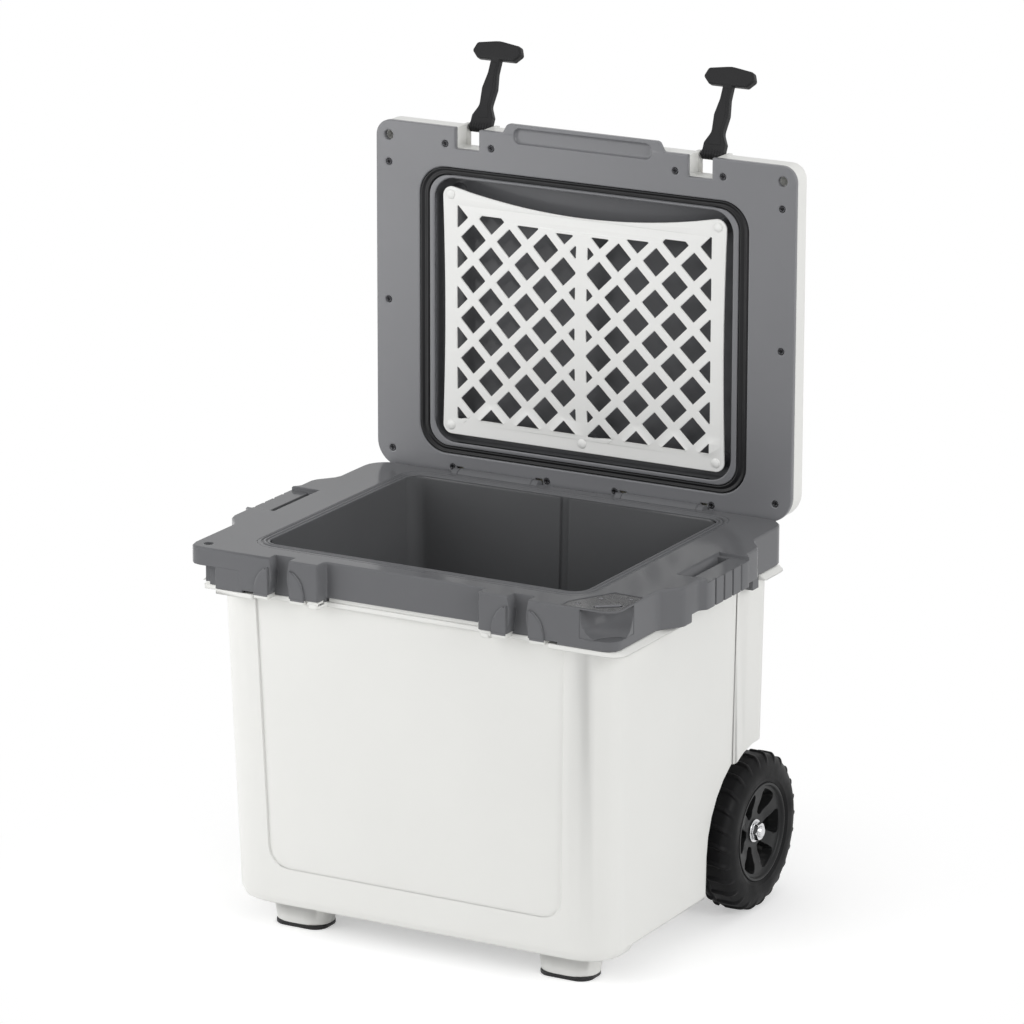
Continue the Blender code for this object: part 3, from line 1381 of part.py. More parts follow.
def rubber_latch(word, seat, finish):
    """T latch: ribbed eye, waisted arm and cross bar, drawn pointing up from its pin."""
    half = [
        (LATCH_BASE_HALF, 0, 0),
        (LATCH_BASE_HALF, LATCH_BASE_LONG, LATCH_RELIEF),
        (LATCH_WAIST_HALF, LATCH_WAIST_AT, LATCH_BASE_LONG),
        (LATCH_BULGE_HALF, LATCH_BULGE_AT, LATCH_BASE_LONG),
        (LATCH_NECK_HALF, LATCH_NECK_AT, LATCH_BASE_LONG),
        (LATCH_NECK_HALF, LATCH_T_NEAR + LATCH_RELIEF, 0),
    ]
    corners = half + [(-x, z, radius) for x, z, radius in reversed(half)]
    thick = LATCH_THICK / 2
    made = wall(f"latch_{word}", filleted(corners), -thick, thick, PARTS)
    ends = (-LATCH_BASE_HALF, 0, 0), (LATCH_BASE_HALF, 0, 0)
    fuse(made, cylinder(f"latch_eye_{word}", LATCH_BARREL_RADIUS, *ends, sides=ROUND_SIDES))
    bar_half = [
        (LATCH_T_HALF - LATCH_T_CHAMFER, LATCH_T_NEAR, LATCH_RELIEF),
        (LATCH_T_HALF, LATCH_T_NEAR + LATCH_T_CHAMFER, LATCH_RELIEF),
        (LATCH_T_HALF - LATCH_T_TIP, LATCH_T_FAR - LATCH_T_TIP, LATCH_RELIEF),
        (0, LATCH_T_FAR, LATCH_T_HALF),
    ]
    bar = bar_half + [(-x, z, radius) for x, z, radius in reversed(bar_half[:-1])]
    fuse(made, wall(f"latch_bar_{word}", filleted(bar), -LATCH_T_THICK / 2, LATCH_T_THICK / 2))
    far = LATCH_BASE_HALF + OVERRUN
    bore = LATCH_PIN_RADIUS + LATCH_PIN_GAP
    cut(made, cylinder(f"latch_bore_{word}", bore, (-far, 0, 0), (far, 0, 0), sides=SMALL_SIDES))
    return settle(made, seat, finish)


def lug_ring(tip, floor, sweep):
    """Ring of lug tops and groove floors at one distance across the tyre."""
    pitch = 2 * math.pi / LUG_COUNT
    points = []
    for lug in range(LUG_COUNT):
        start = pitch * (lug + sweep)
        end = start + pitch * (1 - LUG_GROOVE_SHARE)
        middle = end + pitch * LUG_GROOVE_SHARE / 2
        for radius, angle in ((tip, start), (tip, end), (floor, middle)):
            points.append((radius * math.cos(angle), radius * math.sin(angle)))
    return points


def tyre(word, seat, finish):
    """Lugged tyre drawn about Z, its outer side up, as a closed loft of lug rings."""
    half = WHEEL_WIDE / 2
    bead = HUB_RADIUS + FIT
    base = WHEEL_RADIUS - LUG_DEEP
    shoulder = TYRE_SHOULDER_RADIUS - LUG_DEEP / 2
    groove = -TREAD_GROOVE_X
    sections = [
        (bead, bead, half - TYRE_BEAD_IN),
        (TYRE_SIDE_RADIUS, TYRE_SIDE_RADIUS, half - TYRE_SIDE_IN),
        (TYRE_SHOULDER_RADIUS, shoulder, half - TYRE_SHOULDER_IN),
        (WHEEL_RADIUS, base, half - TREAD_IN),
        (WHEEL_RADIUS, base, groove + TREAD_GROOVE_HALF),
        (base + LUG_DEEP / 3, base, groove),
        (WHEEL_RADIUS, base, groove - TREAD_GROOVE_HALF),
        (WHEEL_RADIUS, base, -half + TREAD_IN),
        (bead, bead, -half + TYRE_BEAD_IN),
    ]
    builder = bmesh.new()
    rings = []
    for tip, floor, level in sections:
        sweep = LUG_SWEEP_SHARE * (level / half) ** 2
        rings.append([builder.verts.new((x, y, level)) for x, y in lug_ring(tip, floor, sweep)])
    for index, ring in enumerate(rings):
        before = rings[index - 1]
        for place in range(len(ring)):
            builder.faces.new((before[place - 1], before[place], ring[place], ring[place - 1]))
    made = new_object(f"wheel_tyre_{word}", mesh_from(builder, "tyre"), PARTS)
    return settle(made, seat, finish)


HUB_FACE = WHEEL_WIDE / 2 - TYRE_BEAD_IN + TYRE_SIDE_IN
HUB_BOSS_FACE = HUB_FACE - HUB_DISH


def hub(word, seat, finish):
    """Dished hub with six windows, drawn about Z with its outer side up."""
    inner = -WHEEL_WIDE / 2 + TYRE_BEAD_IN
    wall_in = HUB_RADIUS - HUB_RIM_WALL
    rim_level = HUB_FACE - HUB_DISH / 2
    low = HUB_BOSS_FACE - HUB_WEB - HUB_DISH / 2
    profile = [
        (HUB_RADIUS, HUB_FACE),
        (HUB_RADIUS, inner),
        (wall_in, inner),
        (wall_in, low),
        (HUB_BOSS_RADIUS, low),
        (HUB_BOSS_RADIUS, inner),
        (AXLE_RADIUS + HUB_BORE_GAP, inner),
        (AXLE_RADIUS + HUB_BORE_GAP, HUB_BOSS_FACE),
        (HUB_BOSS_RADIUS, HUB_BOSS_FACE),
        (HUB_BOSS_RADIUS + HUB_WEB, HUB_BOSS_FACE - HUB_DISH / 3),
        (wall_in - HUB_WEB / 2, rim_level),
        (wall_in, HUB_FACE),
    ]
    made = turned(f"wheel_hub_{word}", profile, HUB_SIDES, PARTS, closed=True)
    corners = [
        (WINDOW_INNER, -WINDOW_INNER_HALF, WINDOW_ROUND),
        (WINDOW_OUTER, -WINDOW_OUTER_HALF, WINDOW_ROUND),
        (WINDOW_OUTER, WINDOW_OUTER_HALF, WINDOW_ROUND),
        (WINDOW_INNER, WINDOW_INNER_HALF, WINDOW_ROUND),
    ]
    for index in range(WINDOW_COUNT):
        turn = Matrix.Rotation(2 * math.pi * (index + 0.5) / WINDOW_COUNT, 2)
        points = [turn @ Vector(point) for point in filleted(corners, 3 * ARC_STEP)]
        window = [(x, y) for x, y in points]
        cut(made, plate(f"window_{word}_{index}", window, -WHEEL_WIDE, WHEEL_WIDE))
    return settle(made, seat, finish)


def ring_points(middle, radius, sides):
    """Corners of a regular polygon."""
    turns = [2 * math.pi * index / sides for index in range(sides)]
    return [(middle[0] + radius * math.cos(turn), middle[1] + radius * math.sin(turn)) for turn in turns]


def wheel_fasteners(frame, steel):
    """Axle with a washer and a nut at each end."""
    ends = (-AXLE_HALF, WHEEL_Y, WHEEL_Z), (AXLE_HALF, WHEEL_Y, WHEEL_Z)
    settle(cylinder("axle_rod", AXLE_RADIUS, *ends, PARTS, ROUND_SIDES), frame, steel)
    start = WHEEL_X + HUB_BOSS_FACE + FIT
    middle = WHEEL_Y, WHEEL_Z
    bore = [ring_points(middle, AXLE_RADIUS + FIT, ROUND_SIDES)]
    for side, word in SIDE_WORDS.items():
        for kind, radius, sides, inner, thick in (
            ("washer", WASHER_RADIUS, ROUND_SIDES, start, WASHER_THICK),
            ("nut", NUT_RADIUS, NUT_SIDES, start + WASHER_THICK + FIT, NUT_THICK),
        ):
            outline = ring_points(middle, radius, sides)
            span = sorted((side * inner, side * (inner + thick)))
            made = side_plate(f"axle_{kind}_{word}", outline, *span, PARTS, holes=bore)
            settle(made, frame, steel)


def tube_pair(name, radius, low, high, seat, finish):
    """Two open tubes, side by side, of the pull handle."""
    inner = radius - TUBE_WALL
    profile = [(radius, high), (radius, low), (inner, low), (inner, high)]
    for side, word in SIDE_WORDS.items():
        tube = turned(f"{name}_{word}", profile, ROUND_SIDES, closed=True)
        settle(baked(shifted(tube, (side * TUBE_X, TUBE_Y, 0))), seat, finish)


def mount_screw_levels():
    """Level of the screw in the middle of each handle mount."""
    return {"top": -MOUNT_TOP - MOUNT_HIGH / 2, "low": -MOUNT_LOW - MOUNT_HIGH / 2}


def mount_screw_bores(name, radius):
    """Bores for the screws of the handle mounts."""
    bores = []
    for word, level in mount_screw_levels().items():
        ends = (0, BODY_REAR - 2 * OVERRUN, level), (0, BODY_REAR + 2 * OVERRUN, level)
        bores.append(cylinder(f"{name}_{word}", radius, *ends, sides=SMALL_SIDES))
    return bores


def handle_mount(name, top, bore_bottom, frame, finish):
    """Bracket on the rear wall that carries both outer tubes."""
    front = BODY_REAR + FIT
    corners = box_corners(MOUNT_HALF, front, MOUNT_REAR, RIM_STEP_ROUND, MOUNT_ROUND)
    inner = box_corners(MOUNT_WEB_INNER, front + MOUNT_FLANGE, MOUNT_REAR - MOUNT_WEB, MOUNT_ROUND / 2)
    low = top - MOUNT_HIGH
    made = plate(name, filleted(corners), low, top, PARTS, holes=[filleted(inner)])
    for side in SIDES:
        place = (side * TUBE_X, TUBE_Y)
        bore = (*place, bore_bottom), (*place, top + OVERRUN)
        cut(made, cylinder(f"{name}_bore_{side}", TUBE_OUTER_RADIUS + FIT, *bore, sides=ROUND_SIDES))
    for tool in mount_screw_bores(name, MOUNT_SCREW_SHANK + FIT):
        cut(made, tool)
    return settle(made, frame, finish)


def mount_screws(frame, finish):
    """Screws that hold the handle mounts to the rear wall."""
    flange = BODY_REAR + FIT + MOUNT_FLANGE + FIT
    profile = [
        (0, MOUNT_SCREW_HEAD),
        (MOUNT_SCREW_RADIUS, MOUNT_SCREW_HEAD / 2),
        (MOUNT_SCREW_RADIUS, 0),
        (MOUNT_SCREW_SHANK, 0),
        (MOUNT_SCREW_SHANK, -2 * MOUNT_FLANGE),
        (0, -2 * MOUNT_FLANGE),
    ]
    for word, level in mount_screw_levels().items():
        screw = turned(f"mount_screw_{word}", profile, SMALL_SIDES)
        screw.rotation_euler = (math.radians(-90), 0, 0)
        settle(baked(shifted(screw, (0, flange, level))), frame, finish)


MID_RADIUS = TUBE_OUTER_RADIUS - TUBE_WALL - TUBE_PLAY
INNER_RADIUS = MID_RADIUS - TUBE_WALL - TUBE_PLAY
GRIP_LOW = -GRIP_BAR_TOP - GRIP_BAR_HIGH


def handle_grip(seat, finish):
    """Grip bar across the inner tubes, with a well for its release button."""
    low, high = GRIP_LOW, -GRIP_BAR_TOP
    half = GRIP_BAR_DEEP / 2
    corners = [
        (TUBE_Y - half, low, GRIP_BAR_ROUND),
        (TUBE_Y + half, low, GRIP_BAR_ROUND),
        (TUBE_Y + half, high, GRIP_BAR_ROUND),
        (TUBE_Y - half, high, GRIP_BAR_ROUND),
    ]
    span = (-GRIP_BAR_HALF, GRIP_BAR_HALF)
    made = side_plate("handle_grip", filleted(corners), *span, PARTS, RIM_STEP_ROUND)
    for side in SIDES:
        place = (side * TUBE_X, TUBE_Y)
        bore = (*place, low - OVERRUN), (*place, low + GRIP_LEG_LONG + FIT)
        cut(made, cylinder(f"grip_bore_{side}", INNER_RADIUS + FIT, *bore, sides=ROUND_SIDES))
    across = BUTTON_HALF_X + BUTTON_GAP
    along = BUTTON_HALF_Y + BUTTON_GAP
    well_low = (-across, TUBE_Y - along, high - BUTTON_WELL)
    cut(made, block("button_well", well_low, (across, TUBE_Y + along, high + OVERRUN)))
    return settle(made, seat, finish)


def release_button(seat, finish):
    """Button in the top of the grip that frees the tubes."""
    high = -GRIP_BAR_TOP + BUTTON_PROUD
    outline = box_corners(BUTTON_HALF_X, TUBE_Y - BUTTON_HALF_Y, TUBE_Y + BUTTON_HALF_Y, BUTTON_HALF_Y / 2)
    made = plate("release_button", filleted(outline), high - BUTTON_TALL, high, PARTS, BUTTON_GAP)
    return settle(made, seat, finish)


def button_spring(seat, finish):
    """Coil spring between the release button and the floor of its well."""
    low = -GRIP_BAR_TOP - BUTTON_WELL + SPRING_WIRE + FIT
    high = -GRIP_BAR_TOP + BUTTON_PROUD - BUTTON_TALL - SPRING_WIRE - FIT
    count = SPRING_TURNS * SPRING_TURN_POINTS
    curve = bpy.data.curves.new("button_spring", "CURVE")
    curve.dimensions = "3D"
    curve.bevel_depth = SPRING_WIRE
    curve.bevel_resolution = 1
    curve.use_fill_caps = True
    spline = curve.splines.new("POLY")
    spline.points.add(count)
    for index, point in enumerate(spline.points):
        angle = 2 * math.pi * index / SPRING_TURN_POINTS
        x = SPRING_RADIUS * math.cos(angle)
        y = TUBE_Y + SPRING_RADIUS * math.sin(angle)
        point.co = (x, y, low + (high - low) * index / count, 1)
    mesh = mesh_from(curve_mesh(curve, "button_spring"), "button_spring")
    made = new_object("button_spring", mesh, PARTS)
    return settle(made, seat, finish)


def across_left(made, reach):
    """Turn an object drawn about Z so that it lies across the left wall, its top outward."""
    made.rotation_euler = (0, math.radians(-90), 0)
    return shifted(made, (-reach, DRAIN_Y, -DRAIN_DOWN))


def drain_wall_half():
    """Half width of the body at the drain."""
    share = (BODY_BOTTOM - DRAIN_DOWN) / (BODY_BOTTOM + BODY_TOP)
    return BODY_LOW_HALF + (BODY_TOP_HALF - BODY_LOW_HALF) * share


def drain_parts(frame, plug_seat, plastic, rubber):
    """Flanged drain tube, its seal and the plug that closes it."""
    outer = drain_wall_half() + 3 * FIT
    inner = OPEN_HALF - LINER_DRAFT * DRAIN_DOWN
    tube = [
        (DRAIN_FLANGE, DRAIN_FLANGE_THICK),
        (DRAIN_FLANGE, 0),
        (DRAIN_TUBE, 0),
        (DRAIN_TUBE, inner - outer),
        (DRAIN_BORE, inner - outer),
        (DRAIN_BORE, DRAIN_FLANGE_THICK),
    ]
    body = turned("drain_body", tube, ROUND_SIDES, closed=True)
    settle(baked(across_left(body, outer)), frame, plastic)
    face = outer + DRAIN_FLANGE_THICK + FIT
    seal = [
        (DRAIN_CAP - DRAIN_SEAL_THICK, DRAIN_SEAL_THICK),
        (DRAIN_CAP - DRAIN_SEAL_THICK, 0),
        (DRAIN_STEM + FIT, 0),
        (DRAIN_STEM + FIT, DRAIN_SEAL_THICK),
    ]
    ring = turned("drain_seal", seal, ROUND_SIDES, closed=True)
    settle(baked(across_left(ring, face)), plug_seat, rubber)
    start = face + DRAIN_SEAL_THICK + FIT
    plug = [
        (0, DRAIN_CAP_THICK),
        (DRAIN_CAP - DRAIN_SEAL_THICK, DRAIN_CAP_THICK),
        (DRAIN_CAP, DRAIN_CAP_THICK - DRAIN_SEAL_THICK),
        (DRAIN_CAP, 0),
        (DRAIN_STEM, 0),
        (DRAIN_STEM, -DRAIN_STEM_LONG),
        (0, -DRAIN_STEM_LONG),
    ]
    cap = baked(across_left(turned("drain_plug", plug, ROUND_SIDES), start))
    out = start + DRAIN_CAP_THICK
    low = (-out - DRAIN_WING_HIGH, DRAIN_Y - DRAIN_STEM, -DRAIN_DOWN - DRAIN_WING_HALF)
    high = (-out + DRAIN_SEAL_THICK, DRAIN_Y + DRAIN_STEM, -DRAIN_DOWN + DRAIN_WING_HALF)
    fuse(cap, block("plug_wing", low, high))
    settle(cap, plug_seat, plastic)


def seat_at(name, place, parent, turn=(0, 0, 0), own=False):
    """Empty on a joint and the place under it of parts drawn in rim, or in their own, coordinates."""
    made = axis(name, place, parent, turn)
    return made, ((0, 0, 0) if own else tuple(-value for value in place))


def wheeled_cooler():
    """Every part, hung on the empties of the joints."""
    white = finish_material("white_shell", WHITE, 0.35)
    grey = finish_material("grey_plastic", GREY, 0.35)
    liner = finish_material("liner_plastic", LINER_GREY, 0.4)
    net_white = finish_material("net_plastic", NET_WHITE, 0.5)
    black = finish_material("black_plastic", BLACK, 0.5)
    rubber = finish_material("black_rubber", RUBBER, 0.65)
    steel = finish_material("stainless", STEEL, 0.25, 1.0)
    foam = finish_material("foam", FOAM, 0.9)
    frame_empty = axis("cooler_frame", (0, -MIDDLE_Y, RIM_HEIGHT))
    frame = (frame_empty, (0, 0, 0))
    outer_shell(frame, white)
    body_foam(frame, foam)
    inner_liner(frame, liner)
    rim_collar(frame, grey)
    opener_plate(frame, steel)
    opener_rivets(frame, steel)
    hinge_pins(frame, steel)
    foot_pads(frame, black)
    lid = seat_at("lid_axis", (0, HINGE_Y, -HINGE_DOWN), frame_empty, (-LID_OPEN_ANGLE, 0, 0))
    lid_panel(lid, grey)
    lid_shell(lid, white)
    lid_foam(lid, foam)
    lid_gasket(lid, rubber)
    lid_net(lid, net_white)
    lid_screws(lid, black)
    latch_pins(lid, steel)
    for side, word in SIDE_WORDS.items():
        place = Vector((side * LATCH_X, LATCH_PIVOT_Y, LATCH_PIVOT_UP)) + Vector(lid[1])
        turn = (math.radians(90) - LATCH_REST_TURN, 0, 0)
        rubber_latch(word, seat_at(f"latch_axis_{word}", place, lid[0], turn, own=True), rubber)
        place = (side * WHEEL_X, WHEEL_Y, WHEEL_Z)
        turn = (0, side * math.radians(90), 0)
        wheel = seat_at(f"wheel_axis_{word}", place, frame_empty, turn, own=True)
        tyre(word, wheel, rubber)
        hub(word, wheel, black)
    wheel_fasteners(frame, steel)
    handle_mount("handle_mount_top", -MOUNT_TOP, -MOUNT_TOP - MOUNT_HIGH - OVERRUN, frame, black)
    handle_mount("handle_mount_low", -MOUNT_LOW, -TUBE_BOTTOM - FIT, frame, black)
    mount_screws(frame, steel)
    tube_pair("handle_outer_tube", TUBE_OUTER_RADIUS, -TUBE_BOTTOM, -TUBE_TOP, frame, steel)
    middle = seat_at("handle_mid_slide", (0, TUBE_Y, -TUBE_TOP), frame_empty)
    low = -TUBE_BOTTOM + MID_RISE / 2
    tube_pair("handle_mid_tube", MID_RADIUS, low, -TUBE_TOP + MID_RISE, middle, steel)
    grip = seat_at("handle_grip_slide", (0, TUBE_Y, GRIP_LOW), frame_empty)
    tube_pair("handle_inner_tube", INNER_RADIUS, low + INNER_RISE / 2, GRIP_LOW + GRIP_LEG_LONG, grip, steel)
    handle_grip(grip, black)
    button_spring(grip, steel)
    button = seat_at("release_button_slide", (0, TUBE_Y, -GRIP_BAR_TOP), frame_empty)
    release_button(button, rubber)
    plug = seat_at("drain_plug_slide", (-drain_wall_half(), DRAIN_Y, -DRAIN_DOWN), frame_empty)
    drain_parts(frame, plug, black, rubber)


wheeled_cooler()
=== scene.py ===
"""Looks of the wheeled cooler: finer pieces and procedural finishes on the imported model."""

import json
import math

import bmesh
import bpy
from mathutils import Matrix, Vector

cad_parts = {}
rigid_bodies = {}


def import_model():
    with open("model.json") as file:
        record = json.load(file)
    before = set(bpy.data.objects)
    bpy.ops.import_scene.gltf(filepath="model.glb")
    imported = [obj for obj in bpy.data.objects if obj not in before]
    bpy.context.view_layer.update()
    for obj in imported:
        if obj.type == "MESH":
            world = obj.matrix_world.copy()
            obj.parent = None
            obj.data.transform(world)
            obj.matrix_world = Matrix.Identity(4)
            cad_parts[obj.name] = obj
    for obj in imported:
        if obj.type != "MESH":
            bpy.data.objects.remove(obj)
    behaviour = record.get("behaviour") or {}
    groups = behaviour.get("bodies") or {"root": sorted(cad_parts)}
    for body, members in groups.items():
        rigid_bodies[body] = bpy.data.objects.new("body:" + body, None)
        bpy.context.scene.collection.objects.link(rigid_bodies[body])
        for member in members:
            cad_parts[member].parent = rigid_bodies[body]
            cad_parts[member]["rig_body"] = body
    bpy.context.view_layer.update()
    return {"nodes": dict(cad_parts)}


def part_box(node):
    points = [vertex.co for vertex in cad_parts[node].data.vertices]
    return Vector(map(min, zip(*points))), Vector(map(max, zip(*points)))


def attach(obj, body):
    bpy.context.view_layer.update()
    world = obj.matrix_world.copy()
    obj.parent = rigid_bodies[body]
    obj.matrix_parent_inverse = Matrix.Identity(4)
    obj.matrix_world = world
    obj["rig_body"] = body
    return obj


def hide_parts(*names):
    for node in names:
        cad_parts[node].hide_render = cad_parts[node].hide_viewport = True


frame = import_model()
NODES = frame["nodes"]
SIDES = {-1: "left", 1: "right"}

# Rim coordinates have z = 0 at the rim's top and y = 0 at its front edge. Lid coordinates are the
# same with the lid closed and y and z turned, and LID brings them to the open lid.
RIM_TOP = 0.437
RIM = Matrix.Translation((0, -0.2425, RIM_TOP))
LID = Matrix(((1, 0, 0, 0), (0, 0, 1, 0.1615), (0, -1, 0, 0.831), (0, 0, 0, 1)))

ARC_STEP = math.radians(7)
CREASE = 38
QUARTER = math.radians(90)


# ---------------------------------------------------------------- finishes

CLOUD_SCALE, GLOSS_SCALE = 7.0, 38.0
BUMP_HEIGHT = 0.001


def new_node(tree, kind, inputs=None, **settings):
    """Shader node with its settings, then the values of its sockets."""
    made = tree.nodes.new(kind)
    for name, value in settings.items():
        setattr(made, name, value)
    for name, value in (inputs or {}).items():
        made.inputs[name].default_value = value
    return made


def link(tree, out_node, out_name, in_node, in_name):
    tree.links.new(out_node.outputs[out_name], in_node.inputs[in_name])


def noise(tree, place, scale, detail, stretch=None):
    """Noise texture in object coordinates, stretched along an axis if asked."""
    made = new_node(tree, "ShaderNodeTexNoise", {"Scale": scale, "Detail": detail})
    if stretch:
        mapping = new_node(tree, "ShaderNodeMapping", {"Scale": stretch})
        link(tree, place, "Object", mapping, "Vector")
        link(tree, mapping, "Vector", made, "Vector")
    else:
        link(tree, place, "Object", made, "Vector")
    return made


def ranged(tree, source, name, low, high, start, end):
    """Value of a socket moved from start..end to low..high."""
    made = new_node(tree, "ShaderNodeMapRange",
                    {"From Min": start, "From Max": end, "To Min": low, "To Max": high})
    link(tree, source, name, made, "Value")
    return made


def finish(name, colour, rough, mottle=0.03, grain=700, depth=0.02, edge=0.0012, streak=None,
           metal=0.0, worn_and_highlight=0.0, spread=0.06, specular=0.5):
    """Procedural finish: cloudy tone, fine moulded or brushed grain, softened edges.

    mottle is the change of tone, grain and depth are the scale and strength of the bump, edge is
    the radius of the softened edges, streak stretches a brushed grain, worn_and_highlight is how
    pale the edges get, partly as rubbed wear and partly as a painted highlight along every edge,
    and spread is the change of roughness.
    """
    made = bpy.data.materials.new(name)
    made.use_nodes = True
    tree = made.node_tree
    shader = tree.nodes["Principled BSDF"]
    shader.inputs["Metallic"].default_value = metal
    shader.inputs["Specular IOR Level"].default_value = specular
    place = new_node(tree, "ShaderNodeTexCoord")
    tone = new_node(tree, "ShaderNodeMix",
                    {"A": [c * (1 - mottle) for c in colour] + [1],
                     "B": [min(1, c * (1 + mottle)) for c in colour] + [1]}, data_type="RGBA")
    cloud = ranged(tree, noise(tree, place, CLOUD_SCALE, 4.0), "Fac", 0, 1, 0.3, 0.7)
    link(tree, cloud, "Result", tone, "Factor")
    last = tone
    bevel = new_node(tree, "ShaderNodeBevel", {"Radius": edge}, samples=6)
    # Paler edges: partly rubbed wear, partly a painted highlight that lightens every edge alike
    if worn_and_highlight:
        shape = new_node(tree, "ShaderNodeNewGeometry")
        turn = new_node(tree, "ShaderNodeVectorMath", operation="DOT_PRODUCT")
        link(tree, bevel, "Normal", turn, 0)
        link(tree, shape, "Normal", turn, 1)
        rubbed_and_highlit = ranged(tree, turn, "Value", worn_and_highlight, 0, 0.80, 0.99)
        last = new_node(tree, "ShaderNodeMix",
                        {"B": [min(1, c * 1.7 + 0.012) for c in colour] + [1]}, data_type="RGBA")
        link(tree, rubbed_and_highlit, "Result", last, "Factor")
        link(tree, tone, "Result", last, "A")
    link(tree, last, "Result", shader, "Base Color")
    fine = noise(tree, place, grain, 2.0, streak)
    gloss = ranged(tree, noise(tree, place, GLOSS_SCALE, 3.0), "Fac",
                   rough - spread / 2, rough + spread, 0.35, 0.75)
    link(tree, gloss, "Result", shader, "Roughness")
    bump = new_node(tree, "ShaderNodeBump", {"Strength": depth, "Distance": BUMP_HEIGHT})
    link(tree, fine, "Fac", bump, "Height")
    link(tree, bevel, "Normal", bump, "Normal")
    link(tree, bump, "Normal", shader, "Normal")
    return made


COLLAR_TONE = (0.148, 0.150, 0.157)
WHITE = finish("white_shell_look", (0.800, 0.800, 0.775), rough=0.36, mottle=0.012, grain=420,
               depth=0.030, edge=0.0022, spread=0.05)
GREY = finish("grey_plastic_look", COLLAR_TONE, rough=0.15, grain=520, depth=0.012, edge=0.0018,
              spread=0.01, specular=0.10)
EDGE = finish("collar_ear_look", COLLAR_TONE, rough=0.30, grain=520, depth=0.012, edge=0.0006,
              spread=0.01, specular=0.35)
LID_GREY = finish("lid_plastic_look", (0.190, 0.192, 0.202), rough=0.30, grain=520, depth=0.014,
                  edge=0.0018, spread=0.01, specular=0.40)
# The liner is the collar's grey plastic made darker: painted shade for the inside of the tub
LINER_PAINTED_SHADE = finish("liner_painted_shade_look", (0.112, 0.114, 0.118), rough=0.30, mottle=0.04, grain=800,
               depth=0.030, edge=0.0022, spread=0.01, specular=0.25)
NET = finish("net_plastic_look", (0.850, 0.852, 0.835), rough=0.50, mottle=0.012, grain=900,
             depth=0.030, edge=0.0008)
BLACK = finish("black_plastic_look", (0.014, 0.014, 0.015), rough=0.42, mottle=0.10, grain=1500,
               depth=0.10, edge=0.0008, worn_and_highlight=0.3, specular=0.3)
HUB = finish("hub_plastic_look", (0.016, 0.0165, 0.017), rough=0.36, mottle=0.08, grain=1300,
             depth=0.06, edge=0.0010, worn_and_highlight=0.25, specular=0.2)
RUBBER = finish("black_rubber_look", (0.019, 0.019, 0.020), rough=0.46, mottle=0.08, grain=1100,
                depth=0.08, edge=0.0010, worn_and_highlight=0.2, specular=0.15)
GASKET = finish("gasket_rubber_look", (0.008, 0.008, 0.009), rough=0.42, mottle=0.08, grain=900,
                depth=0.05, edge=0.0006, specular=0.3)
TYRE = finish("tyre_rubber_look", (0.0055, 0.0055, 0.006), rough=0.50, mottle=0.15, grain=700,
              depth=0.16, edge=0.0008, worn_and_highlight=0.3, spread=0.14, specular=0.12)
BUTTON = finish("button_plastic_look", (0.32, 0.036, 0.028), rough=0.38, mottle=0.04, grain=1200,
                depth=0.05, edge=0.0006)
STEEL = finish("stainless_look", (0.19, 0.19, 0.20), rough=0.20, grain=900, edge=0.0005,
               streak=(1, 30, 30), metal=1.0)
BRIGHT = finish("bright_steel_look", (0.68, 0.68, 0.69), rough=0.13, mottle=0.02, grain=500,
                depth=0.015, edge=0.0004, metal=1.0)
SCREW = finish("screw_steel_look", (0.060, 0.060, 0.064), rough=0.30, mottle=0.06, grain=900,
               depth=0.05, edge=0.0004, metal=1.0)
TUBE = finish("tube_aluminium_look", (0.50, 0.51, 0.52), rough=0.30, grain=1400, depth=0.05,
              edge=0.0004, streak=(1, 1, 0.03), metal=1.0)
FOAM = finish("foam_look", (0.75, 0.70, 0.52), rough=0.90, mottle=0.08, grain=450, depth=0.6,
              edge=0.0005)


# ---------------------------------------------------------------- outlines

def filleted(corners, step=ARC_STEP):
    """Closed outline from (x, y, radius) corners, each rounded by its own arc."""
    outline = []
    count = len(corners)
    for index, (x, y, radius) in enumerate(corners):
        here = Vector((x, y))
        back = (Vector(corners[index - 1][:2]) - here).normalized()
        ahead = (Vector(corners[(index + 1) % count][:2]) - here).normalized()
        half = back.angle(ahead) / 2
        if radius == 0 or half > math.radians(89.5):
            outline.append((x, y))
            continue
        centre = here + (back + ahead).normalized() * (radius / math.sin(half))
        start = here + back * (radius / math.tan(half)) - centre
        sweep = math.pi - 2 * half
        turn = 1 if start.y * back.x > start.x * back.y else -1
        pieces = max(2, round(sweep / step))
        first = math.atan2(start.y, start.x)
        for piece in range(pieces + 1):
            angle = first + turn * sweep * piece / pieces
            outline.append((centre.x + radius * math.cos(angle), centre.y + radius * math.sin(angle)))
    return outline


def mirrored(corners):
    """Corners again with x the other way, in reverse order."""
    return [(-x, y, radius) for x, y, radius in reversed(corners)]


def rounded_box(half, front, rear, corner):
    """Outline of a box with rounded corners, from its half width and its front and rear edges."""
    return filleted([(half, front, corner), (half, rear, corner), (-half, rear, corner),
                     (-half, front, corner)])


def box_ring(half, front, rear, corner, level):
    """Rounded box as a ring of (x, y, z) points for a loft."""
    return [(x, y, level) for x, y in rounded_box(half, front, rear, corner)]


def circle(x, y, radius, sides=28):
    turns = [2 * math.pi * index / sides for index in range(sides)]
    return [(x + radius * math.cos(turn), y + radius * math.sin(turn)) for turn in turns]


def smooth(low, high, value):
    """Soft step from 0 at low to 1 at high."""
    t = max(0.0, min(1.0, (value - low) / (high - low)))
    return t * t * (3 - 2 * t)


# ---------------------------------------------------------------- solids

